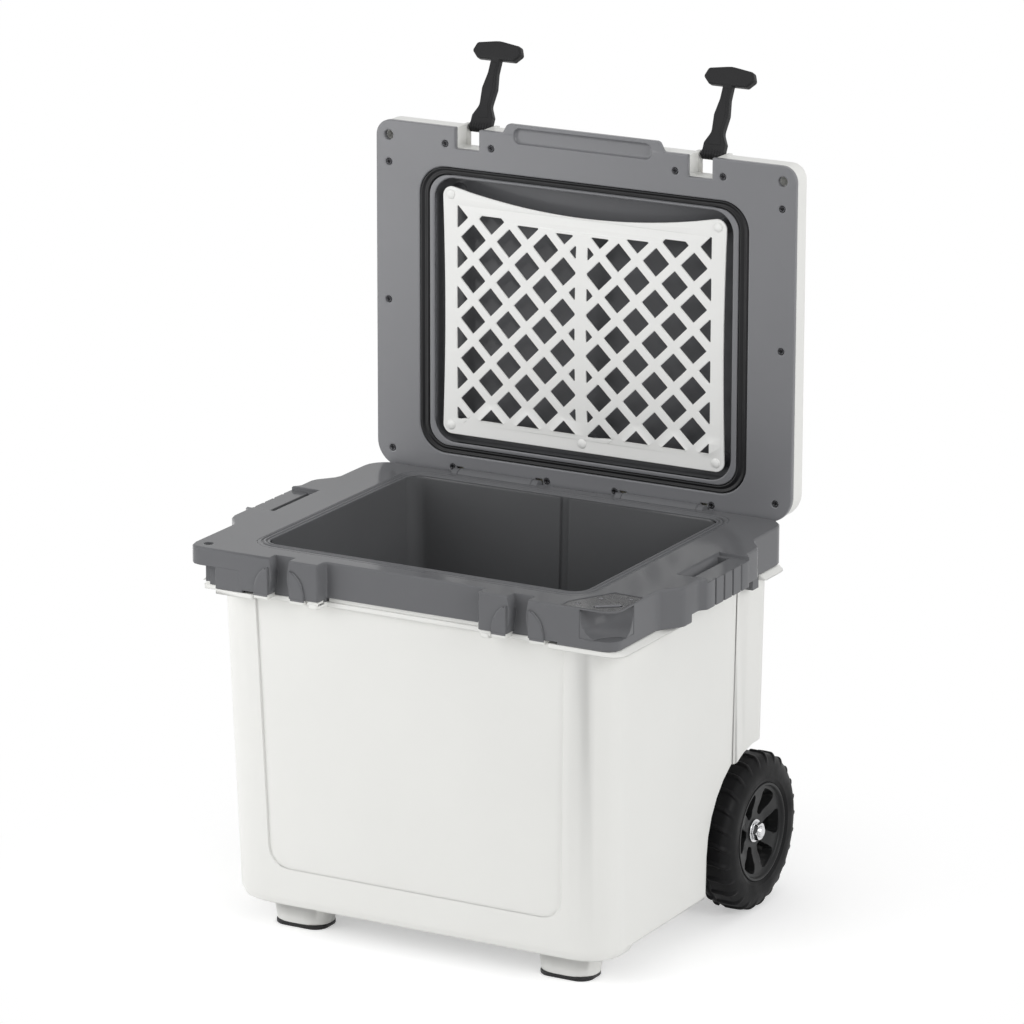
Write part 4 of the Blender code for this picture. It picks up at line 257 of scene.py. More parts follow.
def plate(outline, low, high, edge=0.0, holes=(), rounds=2):
    """Mesh builder of a flat outline with holes, made solid with rounded rims."""
    curve = bpy.data.curves.new("plate", "CURVE")
    curve.dimensions = "2D"
    curve.fill_mode = "BOTH"
    curve.extrude = (high - low) / 2 - edge
    curve.bevel_depth = edge
    curve.bevel_resolution = rounds
    curve.offset = -edge
    for ring in (outline, *holes):
        spline = curve.splines.new("POLY")
        spline.points.add(len(ring) - 1)
        for point, (x, y) in zip(spline.points, ring):
            point.co = (x, y, 0, 1)
        spline.use_cyclic_u = True
    holder = bpy.data.objects.new("plate", curve)
    bpy.context.scene.collection.objects.link(holder)
    seen = holder.evaluated_get(bpy.context.evaluated_depsgraph_get())
    raw = bpy.data.meshes.new_from_object(seen)
    bpy.data.objects.remove(holder, do_unlink=True)
    bpy.data.curves.remove(curve)
    builder = bmesh.new()
    builder.from_mesh(raw)
    bpy.data.meshes.remove(raw)
    bmesh.ops.remove_doubles(builder, verts=builder.verts, dist=0.000005)
    bmesh.ops.translate(builder, verts=builder.verts, vec=(0, 0, (low + high) / 2))
    return builder


def loft(rings, closed=False):
    """Builder of a skin through rings of (x, y, z) points, capped unless it closes on itself."""
    builder = bmesh.new()
    rows = [[builder.verts.new(point) for point in ring] for ring in rings]
    pairs = list(zip(rows, rows[1:])) + ([(rows[-1], rows[0])] if closed else [])
    for low, high in pairs:
        for index in range(len(low)):
            builder.faces.new((low[index - 1], low[index], high[index], high[index - 1]))
    if not closed:
        builder.faces.new(rows[0])
        builder.faces.new(rows[-1])
    bmesh.ops.recalc_face_normals(builder, faces=builder.faces)
    return builder


def lathe(profile, sides=56, closed=False):
    """Builder of a profile of (radius, height) points turned about Z."""
    turns = [2 * math.pi * index / sides for index in range(sides)]
    rings = [[(radius * math.cos(turn), radius * math.sin(turn), height) for turn in turns]
             for radius, height in profile]
    builder = loft(rings, closed)
    bmesh.ops.remove_doubles(builder, verts=builder.verts, dist=0.000002)
    bmesh.ops.recalc_face_normals(builder, faces=builder.faces)
    return builder


def rod(radius, length, chamfer=0.0006):
    """Builder of a round rod that stands on z = 0."""
    return lathe([(0, 0), (radius - chamfer, 0), (radius, chamfer), (radius, length - chamfer),
                  (radius - chamfer, length), (0, length)], 40)


def tube(outer, inner, low, high, rim=0.0003):
    """Builder of a tube with softened rims."""
    return lathe([(inner, low), (inner + rim, low), (outer - rim, low), (outer, low + rim),
                  (outer, high - rim), (outer - rim, high), (inner + rim, high), (inner, high - rim)],
                 56, True)


def along(start, end):
    """Matrix that stands Z on start and points it at end."""
    first = Vector(start)
    way = Vector(end) - first
    return Matrix.Translation(first) @ way.to_track_quat("Z", "Y").to_matrix().to_4x4()


def placed(builder, matrix):
    bmesh.ops.transform(builder, matrix=matrix, verts=builder.verts)
    return builder


def joined(*builders):
    """One builder that holds the faces of several."""
    whole = bmesh.new()
    for builder in builders:
        part = bpy.data.meshes.new("part")
        builder.to_mesh(part)
        builder.free()
        whole.from_mesh(part)
        bpy.data.meshes.remove(part)
    return whole


def settle(name, builder, material, body, replaced=(), place=None, crease=CREASE):
    """Named piece from a builder, smooth shaded, riding on its body in place of CAD nodes."""
    mesh = bpy.data.meshes.new(name)
    if place is not None:
        placed(builder, place)
    builder.to_mesh(mesh)
    builder.free()
    mesh.materials.append(material)
    mesh.shade_smooth()
    mesh.set_sharp_from_angle(angle=math.radians(crease))
    made = bpy.data.objects.new(name, mesh)
    bpy.context.scene.collection.objects.link(made)
    even = made.modifiers.new("even_normals", "WEIGHTED_NORMAL")
    even.keep_sharp = True
    even.weight = 80
    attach(made, body)
    if replaced:
        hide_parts(*replaced)
    return made


def carved(piece, *tools):
    """Take builders away from a piece, and keep the result as its mesh."""
    for tool in tools:
        mesh = bpy.data.meshes.new("tool")
        tool.to_mesh(mesh)
        tool.free()
        cutter = bpy.data.objects.new("tool", mesh)
        bpy.context.scene.collection.objects.link(cutter)
        change = piece.modifiers.new("cut", "BOOLEAN")
        change.operation = "DIFFERENCE"
        change.solver = "EXACT"
        change.object = cutter
        piece.modifiers.move(len(piece.modifiers) - 1, 0)
        depsgraph = bpy.context.evaluated_depsgraph_get()
        result = bpy.data.meshes.new_from_object(piece.evaluated_get(depsgraph),
                                                 preserve_all_data_layers=True, depsgraph=depsgraph)
        piece.modifiers.remove(change)
        bpy.data.objects.remove(cutter, do_unlink=True)
        result.materials.clear()
        result.materials.append(piece.data.materials[0])
        piece.data = result
    piece.data.shade_smooth()
    piece.data.set_sharp_from_angle(angle=math.radians(CREASE))
    return piece


def polished(node, material, crease=34, above=None):
    """Copy of a CAD node with welded, evenly shaded faces, cut off above a level if one is given."""
    builder = bmesh.new()
    builder.from_mesh(NODES[node].data)
    bmesh.ops.remove_doubles(builder, verts=builder.verts, dist=0.00002)
    bmesh.ops.dissolve_limit(builder, angle_limit=math.radians(0.4), verts=builder.verts,
                             edges=builder.edges)
    if above is not None:
        everything = list(builder.verts) + list(builder.edges) + list(builder.faces)
        bmesh.ops.bisect_plane(builder, geom=everything, plane_co=(0, 0, above), plane_no=(0, 0, 1),
                               clear_outer=True)
    return settle(f"{node}_skin", builder, material, NODES[node]["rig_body"], (node,),
                  crease=crease)


# ---------------------------------------------------------------- body

# Depths of the shell under the rim: ledge, start of the stretch, floor in the model, fuller floor, sole
LEDGE, STRETCH_FROM, FLOOR, FULL_FLOOR, SOLE = 0.0497, 0.360, 0.400, 0.4070, 0.4317
CORNER_FROM = 0.190
FOOT_X, FOOT_Y, FOOT_HALF_X, FOOT_HALF_Y = 0.165, 0.083, 0.031, 0.027
FOOT_WIDER = 1.2


def fuller(x, y, z):
    """Point of the body's shell moved out to the fuller lower corners, deeper floor and wider feet."""
    share = max(0.0, min(1.0, (z + FLOOR) / 0.350))
    side = -1 if x < 0 else 1
    if abs(x) > CORNER_FROM and z < -LEDGE:
        model_half, full_half = 0.2245 + 0.012 * share, 0.2345 + 0.007 * share
        widened = (full_half - CORNER_FROM) / (model_half - CORNER_FROM)
        x = side * (CORNER_FROM + (abs(x) - CORNER_FROM) * widened)
    near_foot = abs(abs(x) - FOOT_X) < FOOT_HALF_X and abs(y - FOOT_Y) < FOOT_HALF_Y
    if z < -0.3999 and near_foot:
        x = side * (FOOT_X + (abs(x) - FOOT_X) * FOOT_WIDER)
    if z < -FLOOR:
        z = -SOLE + (z + SOLE) * (SOLE - FULL_FLOOR) / (SOLE - FLOOR)
    elif z < -STRETCH_FROM:
        z = -STRETCH_FROM + (z + STRETCH_FROM) * (FULL_FLOOR - STRETCH_FROM) / (FLOOR - STRETCH_FROM)
    return x, y, z


shell = polished("outer_shell", WHITE, 30)
for vertex in shell.data.vertices:
    rim_place = RIM.inverted() @ vertex.co
    vertex.co = RIM @ Vector(fuller(*rim_place))

# The shell's ledge steps back at the left front corner
corner_room = [(-0.2256, -0.01), (-0.2256, 0.0135), (-0.2470, 0.0135), (-0.2470, 0.040),
               (-0.29, 0.040), (-0.29, -0.01)]
carved(shell, placed(plate(corner_room, -0.0520, -0.0400), RIM))

# Left corner block of the collar, and the step beside it
corner_block = filleted([(-0.2256, 0.0001, 0.0015), (-0.1940, 0.0001, 0), (-0.1940, 0.0122, 0),
                         (-0.2256, 0.0122, 0.0015)])
corner_step = [(-0.2456, 0.0140), (-0.2250, 0.0140), (-0.2250, 0.0380), (-0.2456, 0.0380)]
settle("collar_corner_block", plate(corner_block, -0.0438, -0.0190, 0.0008, (), 3), GREY, "base",
       place=RIM)
settle("collar_corner_step", plate(corner_step, -0.0420, -0.0180, 0.0008), GREY, "base",
       place=RIM)

# Pointed petals on the ears at both sides of each latch notch, drawn in (x, z)
UPRIGHT = Matrix(((1, 0, 0, 0), (0, 0, -1, 0), (0, 1, 0, 0), (0, 0, 0, 1)))
EAR_INNER, EAR_OUTER = (0.1140, 0.1316), (0.1590, 0.1766)
petal = [(0.0, -0.0434), (0.0004, -0.0340), (0.0026, -0.0250), (0.0066, -0.0180), (0.0118, -0.0130),
         (0.0140, -0.0118), (0.0158, -0.0140), (0.0172, -0.0200), (0.0178, -0.0290), (0.0170, -0.0434)]
petals = []
for side in SIDES:
    for start, lean in ((EAR_INNER[0], 1), (EAR_OUTER[1], -1)):
        ring = [(side * (start + lean * across), height) for across, height in petal]
        petals.append(placed(plate(ring, -0.0010, 0.0016, 0.0003), UPRIGHT))
settle("ear_petals", joined(*petals), EDGE, "base", place=RIM)

# White lip under the collar's middle, and white tabs under its ears, blocks and corner step
TAB_HIGH = -0.0414
lips = [plate(rounded_box(0.0955, 0.0194, 0.030, 0.001), -0.0500, -0.0394, 0.0004),
        plate(corner_step, -0.0462, TAB_HIGH, 0.0004)]
for side in SIDES:
    for (start, end), front in ((EAR_INNER, -0.0008), ((0.0985, 0.1120), 0.0016), (EAR_OUTER, -0.0008)):
        ring = filleted([(side * start, front, 0.0008), (side * end, front, 0.0008),
                         (side * end, 0.0170, 0), (side * start, 0.0170, 0)])
        lips.append(plate(ring, -0.0466, TAB_HIGH, 0.0004))
settle("shell_lip_and_tabs", joined(*lips), WHITE, "base", place=RIM)
polished("rim_collar", GREY, 30)
# The tub gets the darker liner grey, which is painted shade
polished("inner_liner", LINER_PAINTED_SHADE, 30, above=RIM_TOP - 0.0016)

# Flange of the liner with its double bead
FLANGE_LOW = -0.0028


def opening_ring(reach):
    """Outline of the tub's opening, grown by reach."""
    return rounded_box(0.1937 + reach, 0.049 - reach, 0.3705 + reach, 0.0175 + reach)


flange = [
    plate(rounded_box(0.205, 0.0348, 0.3852, 0.026), FLANGE_LOW, 0, 0.0005, [opening_ring(0.0095)]),
    plate(opening_ring(0.0100), FLANGE_LOW, -0.0011, 0, [opening_ring(0.0010)]),
    plate(opening_ring(0.0073), FLANGE_LOW, 0.0002, 0.0010, [opening_ring(0.0044)], 3),
    plate(opening_ring(0.0024), FLANGE_LOW, 0.0001, 0.0009, [opening_ring(0)], 3),
]
settle("liner_flange_rings", joined(*flange), GREY, "base", place=RIM)

# Opener plate and rivets
slot_turn = Matrix.Rotation(math.radians(38), 2)
slot_points = [slot_turn @ Vector(p) for p in rounded_box(0.015, -0.005, 0.005, 0.00499)]
slot_ring = [(0.2405 + p.x, 0.021 + p.y) for p in slot_points]
opener = filleted([(0.196, 0.0018, 0.0008), (0.2582, 0.0018, 0.016), (0.2582, 0.066, 0.0018),
                   (0.223, 0.068, 0.0018), (0.196, 0.018, 0.0018)])
rivet_places = {"front": (0.208, 0.015), "middle": (0.2195, 0.045), "rear": (0.249, 0.056)}
rivet_holes = [circle(x, y, 0.0018, 16) for x, y in rivet_places.values()]
plate_builder = plate(opener, -0.0028, -0.0006, 0.0003, [slot_ring, *rivet_holes])
settle("opener_plate_brushed", plate_builder, STEEL, "base", ("opener_plate",), RIM)
rivet_head = [(0, 0), (0.0014, -0.00012), (0.0025, -0.0005), (0.0032, -0.0008), (0.0014, -0.0008),
              (0.0014, -0.009), (0, -0.009)]
for word, (x, y) in rivet_places.items():
    rivet = placed(lathe(rivet_head, 32), Matrix.Translation((x, y, 0.0002)))
    settle(f"rivet_{word}", rivet, STEEL, "base", (f"opener_rivet_{word}",), RIM)

# Curved cove inside the opener pocket: (level, radius) of its wall round the pocket's axis
POCKET_AXIS = (0.262, -0.002)
POCKET_WALL = 0.0439
COVE_STEPS = 20
cove_levels = ((-0.0036, 0.0432), (-0.0110, 0.0428), (-0.0180, 0.0410), (-0.0240, 0.0378),
               (-0.0285, 0.0335), (-0.0315, 0.0280), (-0.0329, 0.0255))
cove_turns = [math.radians(93.0 + 84.2 * step / COVE_STEPS) for step in range(COVE_STEPS + 1)]
cove_rings = []
for level, reach in cove_levels:
    arcs = [(POCKET_WALL, turn) for turn in cove_turns] + [(reach, turn) for turn in reversed(cove_turns)]
    cove_rings.append([(POCKET_AXIS[0] + radius * math.cos(turn), POCKET_AXIS[1] + radius * math.sin(turn),
                        level) for radius, turn in arcs])
settle("opener_cove", loft(cove_rings), GREY, "base", place=RIM)

# Feet pads
for side, word in SIDES.items():
    ring = [(x + side * FOOT_X, y) for x, y in rounded_box(0.0315, 0.061, 0.105, 0.016)]
    pad = plate(ring, -0.437, -0.432, 0.0012)
    settle(f"foot_pad_{word}_rubber", pad, BLACK, "base", (f"foot_pad_{word}",), RIM)

# Hinge pins
HINGE_Y, HINGE_Z = 0.399, -0.005
for side, word in SIDES.items():
    ends = (side * 0.0498, HINGE_Y, HINGE_Z), (side * 0.158, HINGE_Y, HINGE_Z)
    settle(f"hinge_pin_{word}_rod", placed(rod(0.003, 0.1074), along(*ends)), STEEL, "base",
           (f"hinge_pin_{word}",), RIM)

# Axle with threaded ends
WHEEL_Y, WHEEL_Z = 0.1235, 0.0889
WHEEL_X = 0.2305
AXLE_HALF, AXLE_RADIUS = 0.251, 0.006
thread = [(0, 0), (0.0054, 0), (AXLE_RADIUS, 0.0006)]
for index in range(8):
    level = 0.0008 + index * 0.0011
    thread += [(AXLE_RADIUS, level), (0.00545, level + 0.0005)]
thread += [(AXLE_RADIUS, 0.0098)]
whole = thread + [(r, 2 * AXLE_HALF - h) for r, h in reversed(thread)]
axle = placed(lathe(whole, 40), along((-AXLE_HALF, WHEEL_Y, WHEEL_Z), (AXLE_HALF, WHEEL_Y, WHEEL_Z)))
settle("axle_rod_threaded", axle, BRIGHT, "base", ("axle_rod",), crease=30)

# Washers and nuts, from the level of the hub's boss outwards
HUB_FACE, BOSS_FACE = 0.020, 0.010
WASHER_LOW = BOSS_FACE + 0.0003
NUT_LOW, NUT_TALL, NUT_RADIUS, NUT_SIDES = WASHER_LOW + 0.0018, 0.006, 0.0105, 48


def hexagon(radius, low, high):
    """Hexagonal nut with chamfered corners."""
    turns = [2 * math.pi * index / NUT_SIDES for index in range(NUT_SIDES)]
    rings = []
    for level, reach in ((low, 0.93), (low + 0.0009, 1.0), (high - 0.0013, 1.0), (high, 0.90)):
        ring = []
        for turn in turns:
            flat = radius * math.cos(math.pi / 6) / math.cos((turn % (math.pi / 3)) - math.pi / 6)
            size = min(flat, radius * reach)
            ring.append((size * math.cos(turn), size * math.sin(turn), level))
        rings.append(ring)
    for level, size in ((high, 0.0072), (high - 0.0006, 0.0062), (low, 0.0062)):
        rings.append([(size * math.cos(turn), size * math.sin(turn), level) for turn in turns])
    return loft(rings, True)


for side, word in SIDES.items():
    out = along((side * WHEEL_X, WHEEL_Y, WHEEL_Z), (side * 0.6, WHEEL_Y, WHEEL_Z))
    washer = [(0.0064, WASHER_LOW), (0.0125, WASHER_LOW), (0.013, WASHER_LOW + 0.0004),
              (0.013, WASHER_LOW + 0.0011), (0.0125, WASHER_LOW + 0.0015), (0.0064, WASHER_LOW + 0.0015)]
    settle(f"axle_washer_{word}_ring", lathe(washer, 56, True), BRIGHT, "base",
           (f"axle_washer_{word}",), out)
    nut = hexagon(NUT_RADIUS, NUT_LOW, NUT_LOW + NUT_TALL)
    settle(f"axle_nut_{word}_hexagon", nut, BRIGHT, "base", (f"axle_nut_{word}",), out,
           crease=25)


# ---------------------------------------------------------------- wheels

RIB_COUNT, RIB_STEPS = 26, 14
RIB_HEIGHT = 0.0024
TYRE_HALF = 0.023


def tyre_profile():
    """Cross-section of the tyre as (across, radius) points, round from outer bead to inner bead."""
    corners = [  # (across, radius, length of the curve that rounds the corner)
        (0.0190, 0.0553, 0.0), (0.0207, 0.0590, 0.004), (0.0213, 0.0600, 0.002), (0.0219, 0.0700, 0.012),
        (0.0192, 0.0800, 0.008), (0.0140, 0.0862, 0.006), (0.0020, 0.0868, 0.004),
        (-0.0060, 0.0866, 0.0015), (-0.0070, 0.0838, 0.001), (-0.0110, 0.0838, 0.001),
        (-0.0120, 0.0864, 0.0015), (-0.0170, 0.0858, 0.004), (-0.0210, 0.0790, 0.008),
        (-0.0219, 0.0700, 0.010), (-0.0190, 0.0553, 0.0),
    ]
    points = []
    for index, (across, radius, soft) in enumerate(corners):
        here = Vector((across, radius))
        if soft == 0:
            points.append(here)
            continue
        back = Vector(corners[index - 1][:2]) - here
        ahead = Vector(corners[index + 1][:2]) - here
        reach = min(soft, back.length * 0.48, ahead.length * 0.48)
        first, last = here + back.normalized() * reach, here + ahead.normalized() * reach
        for step in range(5):
            t = step / 4
            points.append(first * (1 - t) ** 2 + here * 2 * t * (1 - t) + last * t * t)
    return points


def tyre():
    """Tyre with curved raised ribs across its tread and shoulders, and a plain groove round it."""
    pitch = 2 * math.pi / RIB_COUNT
    rings = []
    for across, radius in tyre_profile():
        in_groove = -0.0122 < across < -0.0058
        lift = 0.0 if in_groove else smooth(0.0755, 0.0810, radius)
        sweep = 0.45 * (across / TYRE_HALF) ** 2 * (1 if across > 0 else -1)
        ring = []
        for index in range(RIB_COUNT * RIB_STEPS):
            share = (index / RIB_STEPS) % 1.0
            rib = smooth(0.0, 0.10, share) * (1 - smooth(0.20, 0.30, share))
            tall = radius + RIB_HEIGHT * lift * rib
            turn = pitch * (index / RIB_STEPS + sweep)
            ring.append((tall * math.cos(turn), tall * math.sin(turn), across))
        rings.append(ring)
    return loft(rings, True)


def hub_face(radius):
    """Level of the hub's outer face at a radius."""
    dish = (HUB_FACE - 0.0042 - BOSS_FACE) * smooth(0.013, 0.050, radius)
    hollow = 0.0034 * (1 - abs(2 * smooth(0.013, 0.036, radius) - 1)) * 0.4
    return BOSS_FACE - hollow + dish


def hub():
    """Dished hub with a rolled edge, drawn about Z with its outer side up."""
    inner = -0.019
    profile = [(0.0550, HUB_FACE - 0.0008), (0.0548, HUB_FACE - 0.0002), (0.0542, HUB_FACE),
               (0.0530, HUB_FACE), (0.0522, HUB_FACE - 0.0006), (0.0516, HUB_FACE - 0.0026),
               (0.0508, HUB_FACE - 0.0038)]
    profile += [(r, hub_face(r)) for r in (0.0498, 0.046, 0.041, 0.036, 0.031, 0.026, 0.021, 0.017)]
    profile += [(0.0150, BOSS_FACE - 0.0004), (0.0138, BOSS_FACE), (0.0066, BOSS_FACE), (0.0066, inner),
                (0.0130, inner), (0.0130, BOSS_FACE - 0.009), (0.0508, BOSS_FACE - 0.0065),
                (0.0508, inner), (0.0550, inner)]
    return lathe(profile, 96, True)


def window(index):
    """Tool that cuts one of the hub's six windows."""
    corners = [(0.0190, -0.0036, 0.0030), (0.0462, -0.0168, 0.0055), (0.0480, 0.0, 0.030),
               (0.0462, 0.0168, 0.0055), (0.0190, 0.0036, 0.0030)]
    turn = Matrix.Rotation(math.radians(60 * index + 30), 2)
    return plate([tuple(turn @ Vector(p)) for p in filleted(corners)], -0.03, 0.03)


for side, word in SIDES.items():
    axis_turn = (Matrix.Translation((side * WHEEL_X, WHEEL_Y, WHEEL_Z))
                 @ Matrix.Rotation(side * QUARTER, 4, "Y"))
    settle(f"wheel_tyre_{word}_ribbed", tyre(), TYRE, f"wheel_{word}",
           (f"wheel_tyre_{word}",), axis_turn, 50)
    disc = settle(f"wheel_hub_{word}_dished", hub(), HUB, f"wheel_{word}",
                  (f"wheel_hub_{word}",), axis_turn)
    carved(disc, *[placed(window(index), axis_turn) for index in range(6)])


# ---------------------------------------------------------------- lid

LID_HALF, LID_FRONT, LID_REAR = 0.2605, 0.002, 0.400
SLOT_INNER, SLOT_OUTER, SLOT_REAR = 0.1295, 0.1595, 0.026
BARREL_NOTCH = 0.3898
LOCK_RADIUS = 0.0055


def lid_outline(inset=0.0, lip=True):
    """Plan of the lid, closed, with its latch slots and, if asked, its lip and barrel notches."""
    front, side, rear = LID_FRONT + inset, LID_HALF - inset, LID_REAR - inset
    slot_inner, slot_outer = SLOT_INNER - inset, SLOT_OUTER + inset
    half = [(slot_inner, front, 0.0012), (slot_inner, SLOT_REAR, 0.0015), (slot_outer, SLOT_REAR, 0.0015),
            (slot_outer, front, 0.0012), (side, front, 0.018 - inset), (side, rear, 0.030 - inset)]
    if lip:
        half = [(0.094, -0.009, 0.006), (0.100, front, 0.003)] + half
        for outer, inner in ((0.1586, 0.1494), (0.0576, 0.0484)):
            half += [(outer, LID_REAR, 0), (outer, BARREL_NOTCH, 0.001), (inner, BARREL_NOTCH, 0.001),
                     (inner, LID_REAR, 0)]
    return filleted(half + mirrored(half))


screws = [(0.2443, 0.0494), (0.2452, 0.207), (0.2407, 0.3786), (0.1724, 0.0216), (0.1142, 0.0213),
          (0.1629, 0.3911), (0.0428, 0.3916)]
screw_places = [(side * x, y) for x, y in screws for side in SIDES]
lock_holes = [circle(side * 0.2445, 0.019, LOCK_RADIUS) for side in SIDES]

# Inner panel: its face with the dished lip, and the land between gasket and pocket
PANEL_LOW, PANEL_HIGH = 0.0005, 0.007
groove_outer = rounded_box(0.2048, 0.0477, 0.3758, 0.033)
groove_inner = rounded_box(0.1922, 0.0568, 0.3667, 0.0245)
pocket_ring = rounded_box(0.186, 0.059, 0.362, 0.026)
panel_holes = [circle(x, y, 0.0038) for x, y in screw_places] + lock_holes
panel_face = plate(lid_outline(), PANEL_LOW, PANEL_HIGH, 0.0012, [groove_outer, *panel_holes], 3)
land = [
    plate(groove_inner, PANEL_LOW, PANEL_HIGH, 0.0010, [pocket_ring], 3),
    plate(rounded_box(0.2060, 0.0465, 0.3770, 0.034), 0.0035, 0.0066, 0,
          [rounded_box(0.188, 0.0602, 0.3632, 0.026)]),
]
panel = settle("lid_panel_face", panel_face, LID_GREY, "lid", ("lid_panel",), LID)
dish = plate(rounded_box(0.0855, -0.0052, 0.0125, 0.0075), -0.0030, 0.0042, 0.0034, (), 5)
carved(panel, placed(dish, LID))
settle("lid_panel_land", joined(*land), LID_GREY, "lid", place=LID)

# Pocket behind the net: (growth inwards, level) of its pan
pan_steps = ((0.0, 0.0015), (0.0, 0.0185), (0.0008, 0.0209), (0.0026, 0.0232), (0.0050, 0.0243),
             (0.0075, 0.0245))
pan = [box_ring(0.186 - grow, 0.059 + grow, 0.362 - grow, 0.026 - grow, level) for grow, level in pan_steps]
outer_pan = [box_ring(0.189, 0.056, 0.365, 0.029, level) for level in (0.0272, 0.0015)]
settle("lid_pocket_pan", loft(pan + outer_pan, True), GREY, "lid", place=LID)
pan_floor = loft([box_ring(0.180, 0.065, 0.356, 0.020, level) for level in (0.0243, 0.0268)])
settle("lid_pocket_floor", pan_floor, GREY, "lid", place=LID)

# Posts of the net's pegs, and the hinge barrels
PEG_X, PEG_FRONT, PEG_REAR = 0.1665, 0.0785, 0.343
BARREL_LONG = 0.093
peg_spots = [(side * PEG_X, y) for y in (PEG_FRONT, PEG_REAR) for side in SIDES] + [(0, PEG_REAR)]
post = [(0, 0.0062), (0.0056, 0.0062), (0.0062, 0.0068), (0.0062, 0.0215), (0.0075, 0.0235),
        (0.0095, 0.0244), (0, 0.0246)]
barrel = [(0.0034, 0), (0.0089, 0), (0.0095, 0.0006), (0.0095, BARREL_LONG - 0.0006),
          (0.0089, BARREL_LONG), (0.0034, BARREL_LONG)]
posts = [placed(lathe(post, 32), Matrix.Translation((x, y, 0))) for x, y in peg_spots]
for side in SIDES:
    ends = (side * 0.057, HINGE_Y, HINGE_Z), (side * 0.150, HINGE_Y, HINGE_Z)
    posts.append(placed(lathe(barrel, 48, True), along(*ends)))
settle("lid_posts_and_barrels", joined(*posts), GREY, "lid", place=LID)

# Gasket with two lips: (way inwards, level) round its section
GASKET_WIDE, GASKET_HALF, GASKET_INNER_HALF = 0.0085, 0.2044, 0.1926
gasket_section = ((0.0, 0.0034), (0.0, 0.0016), (0.0010, 0.0008), (0.0022, 0.0012), (0.0032, 0.0024),
                  (0.0044, 0.0026), (0.0056, 0.0016), (0.0066, 0.0009), (0.0076, 0.0014),
                  (GASKET_WIDE, 0.0026), (GASKET_WIDE, 0.0034))
gasket_rings = []
for reach, level in gasket_section:
    half = GASKET_HALF - reach * (GASKET_HALF - GASKET_INNER_HALF) / GASKET_WIDE
    gasket_rings.append(box_ring(half, 0.0481 + reach, 0.3754 - reach, 0.033 - reach, level))
settle("lid_gasket_lips", loft(gasket_rings, True), GASKET, "lid", ("lid_gasket",), LID,
       crease=60)

# White shell of the lid: its rim, its domed top, and the cheeks that hold the latch pins
DOME_FRONT, DOME_HALF, CHEEK_GAP = 0.0128, 0.2497, 0.0068
pan_room = rounded_box(0.1895, 0.0555, 0.3655, 0.0295)
shell_parts = [plate(lid_outline(0.0008, False), 0.0073, 0.030, 0.0025, [pan_room, *lock_holes], 3)]
dome = [
    (SLOT_INNER - CHEEK_GAP, DOME_FRONT, 0.002), (SLOT_INNER - CHEEK_GAP, 0.030, 0.002),
    (SLOT_OUTER + CHEEK_GAP, 0.030, 0.002), (SLOT_OUTER + CHEEK_GAP, DOME_FRONT, 0.002),
    (DOME_HALF, DOME_FRONT, 0.0085), (DOME_HALF, 0.3892, 0.0195),
]
shell_parts.append(plate(filleted(dome + mirrored(dome)), 0.0278, 0.043, 0.006, (), 5))
for side in SIDES:
    for near in (0.1235, 0.1597):
        far = near + 0.0058
        cheek = filleted([(near, 0.0032, 0.0012), (far, 0.0032, 0.0012), (far, 0.030, 0.001),
                          (near, 0.030, 0.001)])
        shell_parts.append(plate([(side * x, y) for x, y in cheek], 0.0275, 0.0385, 0.0016, (), 3))
settle("lid_shell_domed", joined(*shell_parts), WHITE, "lid", ("lid_shell",), LID)

# Screws with a cross recess: the first is cut, and the others copy it
screw_head = lathe([(0, 0.0008), (0.0030, 0.0008), (0.0035, 0.0013), (0.0035, 0.0051), (0, 0.0051)], 32)
cross_arms = ((0.0021, 0.0005), (0.0005, 0.0021))
screw_mesh = None
for index, (x, y) in enumerate(screw_places, 1):
    name, node = f"lid_screw_{index:02}_cross", f"lid_screw_{index:02}"
    place = LID @ Matrix.Translation((x, y, 0))
    if screw_mesh is None:
        first = settle(name, screw_head, SCREW, "lid", (node,))
        carved(first, *[plate(rounded_box(a, -b, b, 0.0002), -0.001, 0.0026) for a, b in cross_arms])
        screw_mesh = first.data.copy()
        first.data.transform(place)
        continue
    other = bmesh.new()
    other.from_mesh(screw_mesh)
    settle(name, other, SCREW, "lid", (node,), place)


# ---------------------------------------------------------------- net

NET_HALF, NET_FRONT, NET_REAR = 0.177, 0.067, 0.353
NET_STEPS = 28
NET_DIP = 0.0205
NET_RIM, TOP_RIM, MIDDLE_BAR = 0.0185, 0.020, 0.0070
HOLE_PITCH, HOLE_REACH = 0.0462, 0.0162
FIRST_HOLE = (0.0222, 0.149)
LEAST_SHARE = 0.05
CROWN, CROWN_MIDDLE, CROWN_REACH = 0.006, 0.21075, 0.13225


def clipped(polygon, normal, limit):
    """Part of a polygon whose distance along a normal is below a limit."""
    kept = []
    for index, here in enumerate(polygon):
        before = polygon[index - 1]
        reach = [point[0] * normal[0] + point[1] * normal[1] - limit for point in (before, here)]
        if (reach[0] > 0) != (reach[1] > 0):
            share = reach[0] / (reach[0] - reach[1])
            kept.append(tuple(a + (b - a) * share for a, b in zip(before, here)))
        if reach[1] <= 0:
            kept.append(here)
    return kept


def area(polygon):
    return abs(sum(polygon[i - 1][0] * y - x * polygon[i - 1][1] for i, (x, y) in enumerate(polygon))) / 2


def net_front(x):
    """Line of the net's curved upper edge."""
    return NET_FRONT + NET_DIP * (1 - (abs(x) / NET_HALF) ** 2)


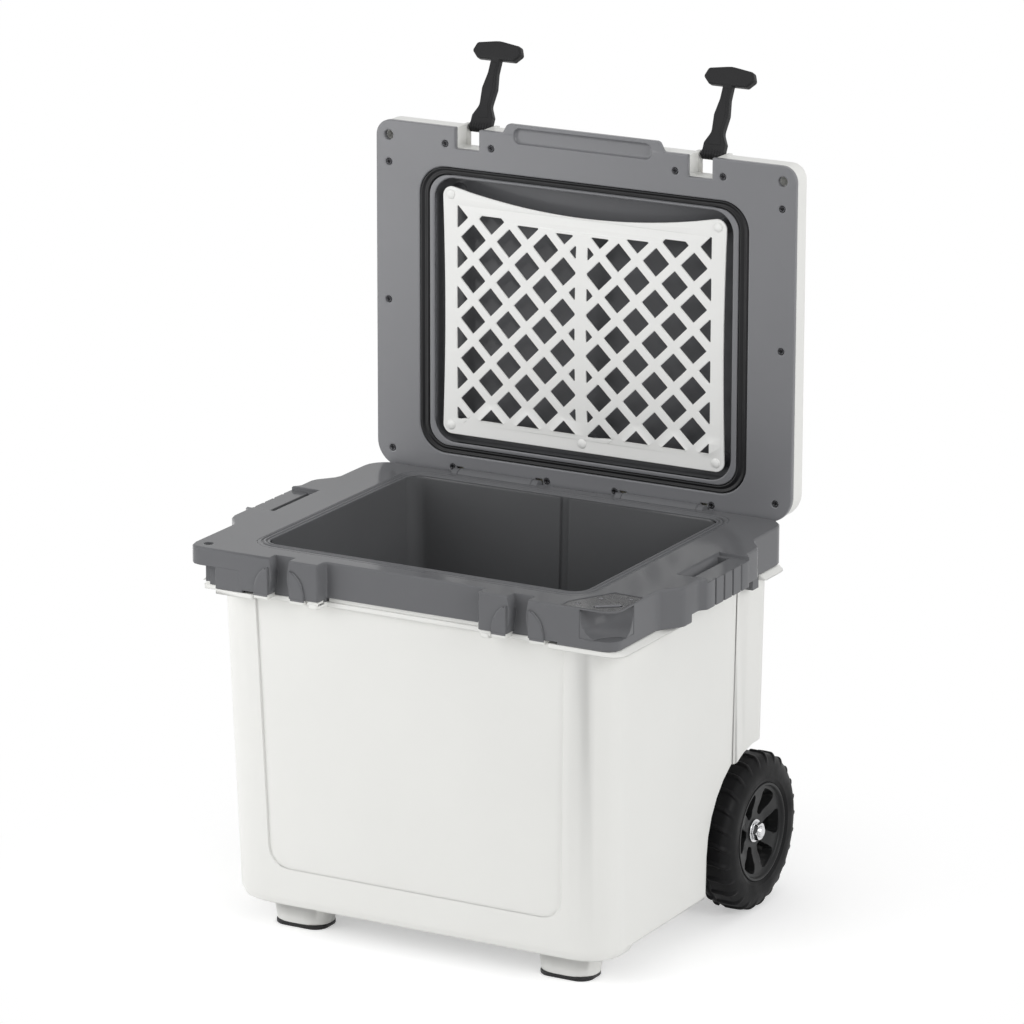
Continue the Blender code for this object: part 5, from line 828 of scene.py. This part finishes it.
def net_outline():
    """Plan of the net, with its curved upper edge and sides that pull in a little."""
    shares = [index / NET_STEPS for index in range(3, NET_STEPS - 2)]
    across = [NET_HALF * (2 * t - 1) for t in shares]
    side = [(NET_HALF - 0.003 * math.sin(math.pi * t), NET_FRONT + (NET_REAR - NET_FRONT) * t, 0)
            for t in shares]
    corners = [(-NET_HALF, NET_FRONT, 0.011)] + [(x, net_front(x), 0) for x in across]
    corners += [(NET_HALF, NET_FRONT, 0.011)] + side
    corners += [(NET_HALF, NET_REAR, 0.011), (-NET_HALF, NET_REAR, 0.011)] + mirrored(side)
    return filleted(corners)


def net_holes():
    """Diamond holes of the lattice, cut off at the rim and the middle bar, without tiny leftovers."""
    holes = []
    for shift in (0, 0.5):
        for column in range(-1, 5):
            for row in range(-8, 8):
                x = FIRST_HOLE[0] + HOLE_PITCH * (column + shift)
                y = FIRST_HOLE[1] + HOLE_PITCH * (row + shift)
                hole = [(x - HOLE_REACH, y), (x, y - HOLE_REACH), (x + HOLE_REACH, y), (x, y + HOLE_REACH)]
                for normal, limit in (((-1, 0), -MIDDLE_BAR), ((1, 0), NET_HALF - NET_RIM),
                                      ((0, 1), NET_REAR - NET_RIM), ((0, -1), -net_front(x) - TOP_RIM)):
                    hole = clipped(hole, normal, limit)
                if len(hole) > 2 and area(hole) > 2 * HOLE_REACH ** 2 * LEAST_SHARE:
                    soft = filleted([(px, py, 0.0010) for px, py in hole], math.radians(30))
                    holes.append(soft)
                    holes.append([(-px, py) for px, py in reversed(soft)])
    return holes


net = plate(net_outline(), 0.0034, 0.0058, 0.0007, net_holes(), 1)
for vertex in net.verts:
    across = max(0, 1 - (vertex.co.x / PEG_X) ** 2)
    down = max(0, 1 - ((vertex.co.y - CROWN_MIDDLE) / CROWN_REACH) ** 2)
    vertex.co.z -= CROWN * across * down
peg = [(0, 0.0014), (0.0020, 0.0015), (0.0038, 0.0019), (0.0050, 0.0026), (0.0053, 0.0034),
       (0.0053, 0.0040), (0.0022, 0.0042), (0.0022, 0.0130), (0, 0.0132)]
heads = [placed(lathe(peg, 36), Matrix.Translation((x, y, 0))) for x, y in peg_spots]
settle("lid_net_lattice", joined(net, *heads), NET, "lid", ("lid_net",), LID)


# ---------------------------------------------------------------- latches

PIN_Y, PIN_Z = 0.006, 0.033
LATCH_LEAN = -math.radians(27)
EYE_HALF, EYE_RIDGES, RIDGE_WIDE = 0.0132, 8, 0.0033


def latch():
    """T latch drawn in (x, z) pointing up from its pin: arm, cross bar and ribbed eye."""
    arm = [(0.0132, 0.001, 0.001), (0.0132, 0.012, 0.002), (0.0070, 0.024, 0.012), (0.0088, 0.044, 0.010),
           (0.0058, 0.062, 0.010), (0.0058, 0.080, 0)]
    raised = [(0.0085, 0.010, 0.002), (0.0040, 0.025, 0.010), (0.0052, 0.044, 0.010),
              (0.0030, 0.060, 0.006), (0.0030, 0.074, 0.001)]
    bar = [(0.023, 0.077, 0.003), (0.031, 0.085, 0.0035), (0.027, 0.095, 0.004)]
    flat = joined(plate(filleted(arm + mirrored(arm)), -0.0045, 0.0045, 0.0015, (), 3),
                  plate(filleted(raised + mirrored(raised)), -0.0049, 0.0049, 0.0006),
                  plate(filleted(bar + [(0, 0.099, 0.03)] + mirrored(bar)), -0.0054, 0.0054, 0.0024, (), 4))
    placed(flat, Matrix.Rotation(QUARTER, 4, "X"))
    profile = [(0.0023, -EYE_HALF)]
    for index in range(EYE_RIDGES):
        level = -EYE_HALF + index * RIDGE_WIDE
        foot = level + 0.0001 if index == 0 else level
        profile += [(0.0054, foot), (0.0061, level + 0.0006), (0.0061, level + 0.0024),
                    (0.0054, level + 0.0030)]
    profile += [(0.0023, EYE_HALF)]
    eye = placed(lathe(profile, 40, True), Matrix.Rotation(QUARTER, 4, "Y"))
    return joined(flat, eye)


for side, word in SIDES.items():
    pivot = LID @ Vector((side * 0.1445, PIN_Y, PIN_Z))
    lean = Matrix.Rotation(LATCH_LEAN, 4, "X")
    settle(f"latch_{word}_moulded", latch(), RUBBER, f"latch_{word}",
           (f"latch_{word}",), Matrix.Translation(pivot) @ lean)
    ends = (side * 0.1271, PIN_Y, PIN_Z), (side * 0.1619, PIN_Y, PIN_Z)
    settle(f"latch_pin_{word}_rod", placed(rod(0.002, 0.0348, 0.0003), along(*ends)), STEEL, "lid",
           (f"latch_pin_{word}",), LID)


# ---------------------------------------------------------------- pull handle, drain and foam

TUBE_WALL = 0.0012

for node in ("handle_mount_top", "handle_mount_low", "handle_grip"):
    polished(node, BLACK)
polished("release_button", BUTTON)

for kind, body in (("outer", "base"), ("mid", "handle_mid"), ("inner", "handle_top")):
    for word in SIDES.values():
        node = f"handle_{kind}_tube_{word}"
        low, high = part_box(node)
        radius = (high.x - low.x) / 2
        middle = ((high.x + low.x) / 2, (high.y + low.y) / 2, 0)
        pipe = placed(tube(radius, radius - TUBE_WALL, low.z, high.z), Matrix.Translation(middle))
        settle(f"{node}_drawn", pipe, TUBE, body, (node,))

for word in ("top", "low"):
    polished(f"mount_screw_{word}", STEEL)
polished("button_spring", STEEL, 60)
for node in ("drain_body", "drain_plug"):
    polished(node, BLACK)
polished("drain_seal", RUBBER)
for node in ("body_foam", "lid_foam"):
    NODES[node].data.materials.clear()
    NODES[node].data.materials.append(FOAM)


# ---------------------------------------------------------------- camera, light and floor

CAMERA_PLACE = (2.97898676, -5.34971897, 2.17995992)
YAW, PITCH, ROLL = (math.radians(value) for value in (29.0837, 15.7757, 0.1028))
WORLD_LIGHT = 0.50
FLOOR_GLOW = 0.40
FLOOR_HALF = 14
FADE_START, FADE_END = 0.30, 0.62
FULL_WHITE = (1, 1, 1, 1)

back = Vector((math.sin(YAW) * math.cos(PITCH), -math.cos(YAW) * math.cos(PITCH), math.sin(PITCH)))
right = Vector((math.cos(YAW), math.sin(YAW), 0))
up = back.cross(right)
turned_right = right * math.cos(ROLL) + up * math.sin(ROLL)
turned_up = up * math.cos(ROLL) - right * math.sin(ROLL)
facing = Matrix((turned_right, turned_up, back)).transposed().to_4x4()
lens = bpy.data.cameras.new("camera")
lens.lens = 206.13
lens.sensor_width = 36
lens.clip_end = 60
camera = bpy.data.objects.new("camera", lens)
bpy.context.scene.collection.objects.link(camera)
camera.matrix_world = Matrix.Translation(CAMERA_PLACE) @ facing
bpy.context.scene.camera = camera


def lamp(name, place, target, size, power):
    """Rectangular lamp that points at a target."""
    light = bpy.data.lights.new(name, "AREA")
    light.shape = "RECTANGLE"
    light.size, light.size_y = size
    light.energy = power
    made = bpy.data.objects.new(name, light)
    bpy.context.scene.collection.objects.link(made)
    way = Vector(target) - Vector(place)
    made.matrix_world = Matrix.Translation(place) @ way.to_track_quat("-Z", "Y").to_matrix().to_4x4()


lamp("key", (-2.6, -4.2, 3.4), (0, 0, 0.4), (3.0, 2.6), 52)
lamp("side", (4.2, -1.2, 2.2), (0, 0, 0.3), (2.4, 2.4), 84)
lamp("top", (0.4, 0.6, 4.2), (0, 0, 0.4), (3.0, 3.0), 15)
lamp("low", (-1.45, -1.25, 0.62), (0, 0.1, 0.55), (1.15, 1.15), 12)


def larger(tree, first, second):
    """Node that gives the larger of two (node, socket) values."""
    made = new_node(tree, "ShaderNodeMath", operation="MAXIMUM")
    link(tree, *first, made, 0)
    link(tree, *second, made, 1)
    return made, "Value"


def blended(tree, factor, first, second):
    """Shader that goes from the first shader to the second as a (node, socket) factor rises."""
    made = new_node(tree, "ShaderNodeMixShader")
    link(tree, *factor, made, 0)
    link(tree, first, 0, made, 1)
    link(tree, second, 0, made, 2)
    return made


# The world lights plainly, and looks white to the camera, in gloss and through clear pieces
world = bpy.data.worlds.new("studio")
world.use_nodes = True
bpy.context.scene.world = world
tree = world.node_tree
tree.nodes.clear()
plain = new_node(tree, "ShaderNodeBackground", {"Color": FULL_WHITE, "Strength": WORLD_LIGHT})
white = new_node(tree, "ShaderNodeBackground", {"Color": FULL_WHITE, "Strength": 1.0})
path = new_node(tree, "ShaderNodeLightPath")
seen = larger(tree, (path, "Is Camera Ray"), (path, "Is Glossy Ray"))
seen = larger(tree, seen, (path, "Is Transmission Ray"))
output = new_node(tree, "ShaderNodeOutputWorld")
link(tree, blended(tree, seen, plain, white), 0, output, "Surface")

# Pale floor, white to the camera but for the object's shadow
floor_mesh = bpy.data.meshes.new("floor")
corners = [(x * FLOOR_HALF, y * FLOOR_HALF, 0) for x, y in ((-1, -1), (1, -1), (1, 1), (-1, 1))]
floor_mesh.from_pydata(corners, [], [(0, 1, 2, 3)])
floor = bpy.data.objects.new("floor", floor_mesh)
bpy.context.scene.collection.objects.link(floor)
pale = bpy.data.materials.new("pale_floor")
pale.use_nodes = True
tree = pale.node_tree
surface = tree.nodes["Principled BSDF"]
surface.inputs["Base Color"].default_value = (0.82, 0.82, 0.82, 1)
surface.inputs["Roughness"].default_value = 0.9
surface.inputs["Specular IOR Level"].default_value = 0.0
ray = new_node(tree, "ShaderNodeLightPath")
seen = larger(tree, (ray, "Is Camera Ray"), (ray, "Is Glossy Ray"))
dark = new_node(tree, "ShaderNodeEmission", {"Strength": 0.0})
glow = new_node(tree, "ShaderNodeEmission", {"Strength": FLOOR_GLOW})
lit = new_node(tree, "ShaderNodeAddShader")
link(tree, surface, 0, lit, 0)
link(tree, blended(tree, seen, dark, glow), 0, lit, 1)
spot = new_node(tree, "ShaderNodeNewGeometry")
distance = new_node(tree, "ShaderNodeVectorMath", operation="LENGTH")
link(tree, spot, "Position", distance, 0)
far = new_node(tree, "ShaderNodeMapRange", {"From Min": FADE_START, "From Max": FADE_END},
               interpolation_type="SMOOTHSTEP")
link(tree, distance, "Value", far, "Value")
shown = new_node(tree, "ShaderNodeMath", operation="MULTIPLY")
link(tree, far, "Result", shown, 0)
link(tree, *seen, shown, 1)
blank = new_node(tree, "ShaderNodeEmission", {"Strength": 1.0})
link(tree, blended(tree, (shown, "Value"), lit, blank), 0, tree.nodes["Material Output"], "Surface")
floor_mesh.materials.append(pale)

bpy.context.scene.view_settings.view_transform = "Standard"
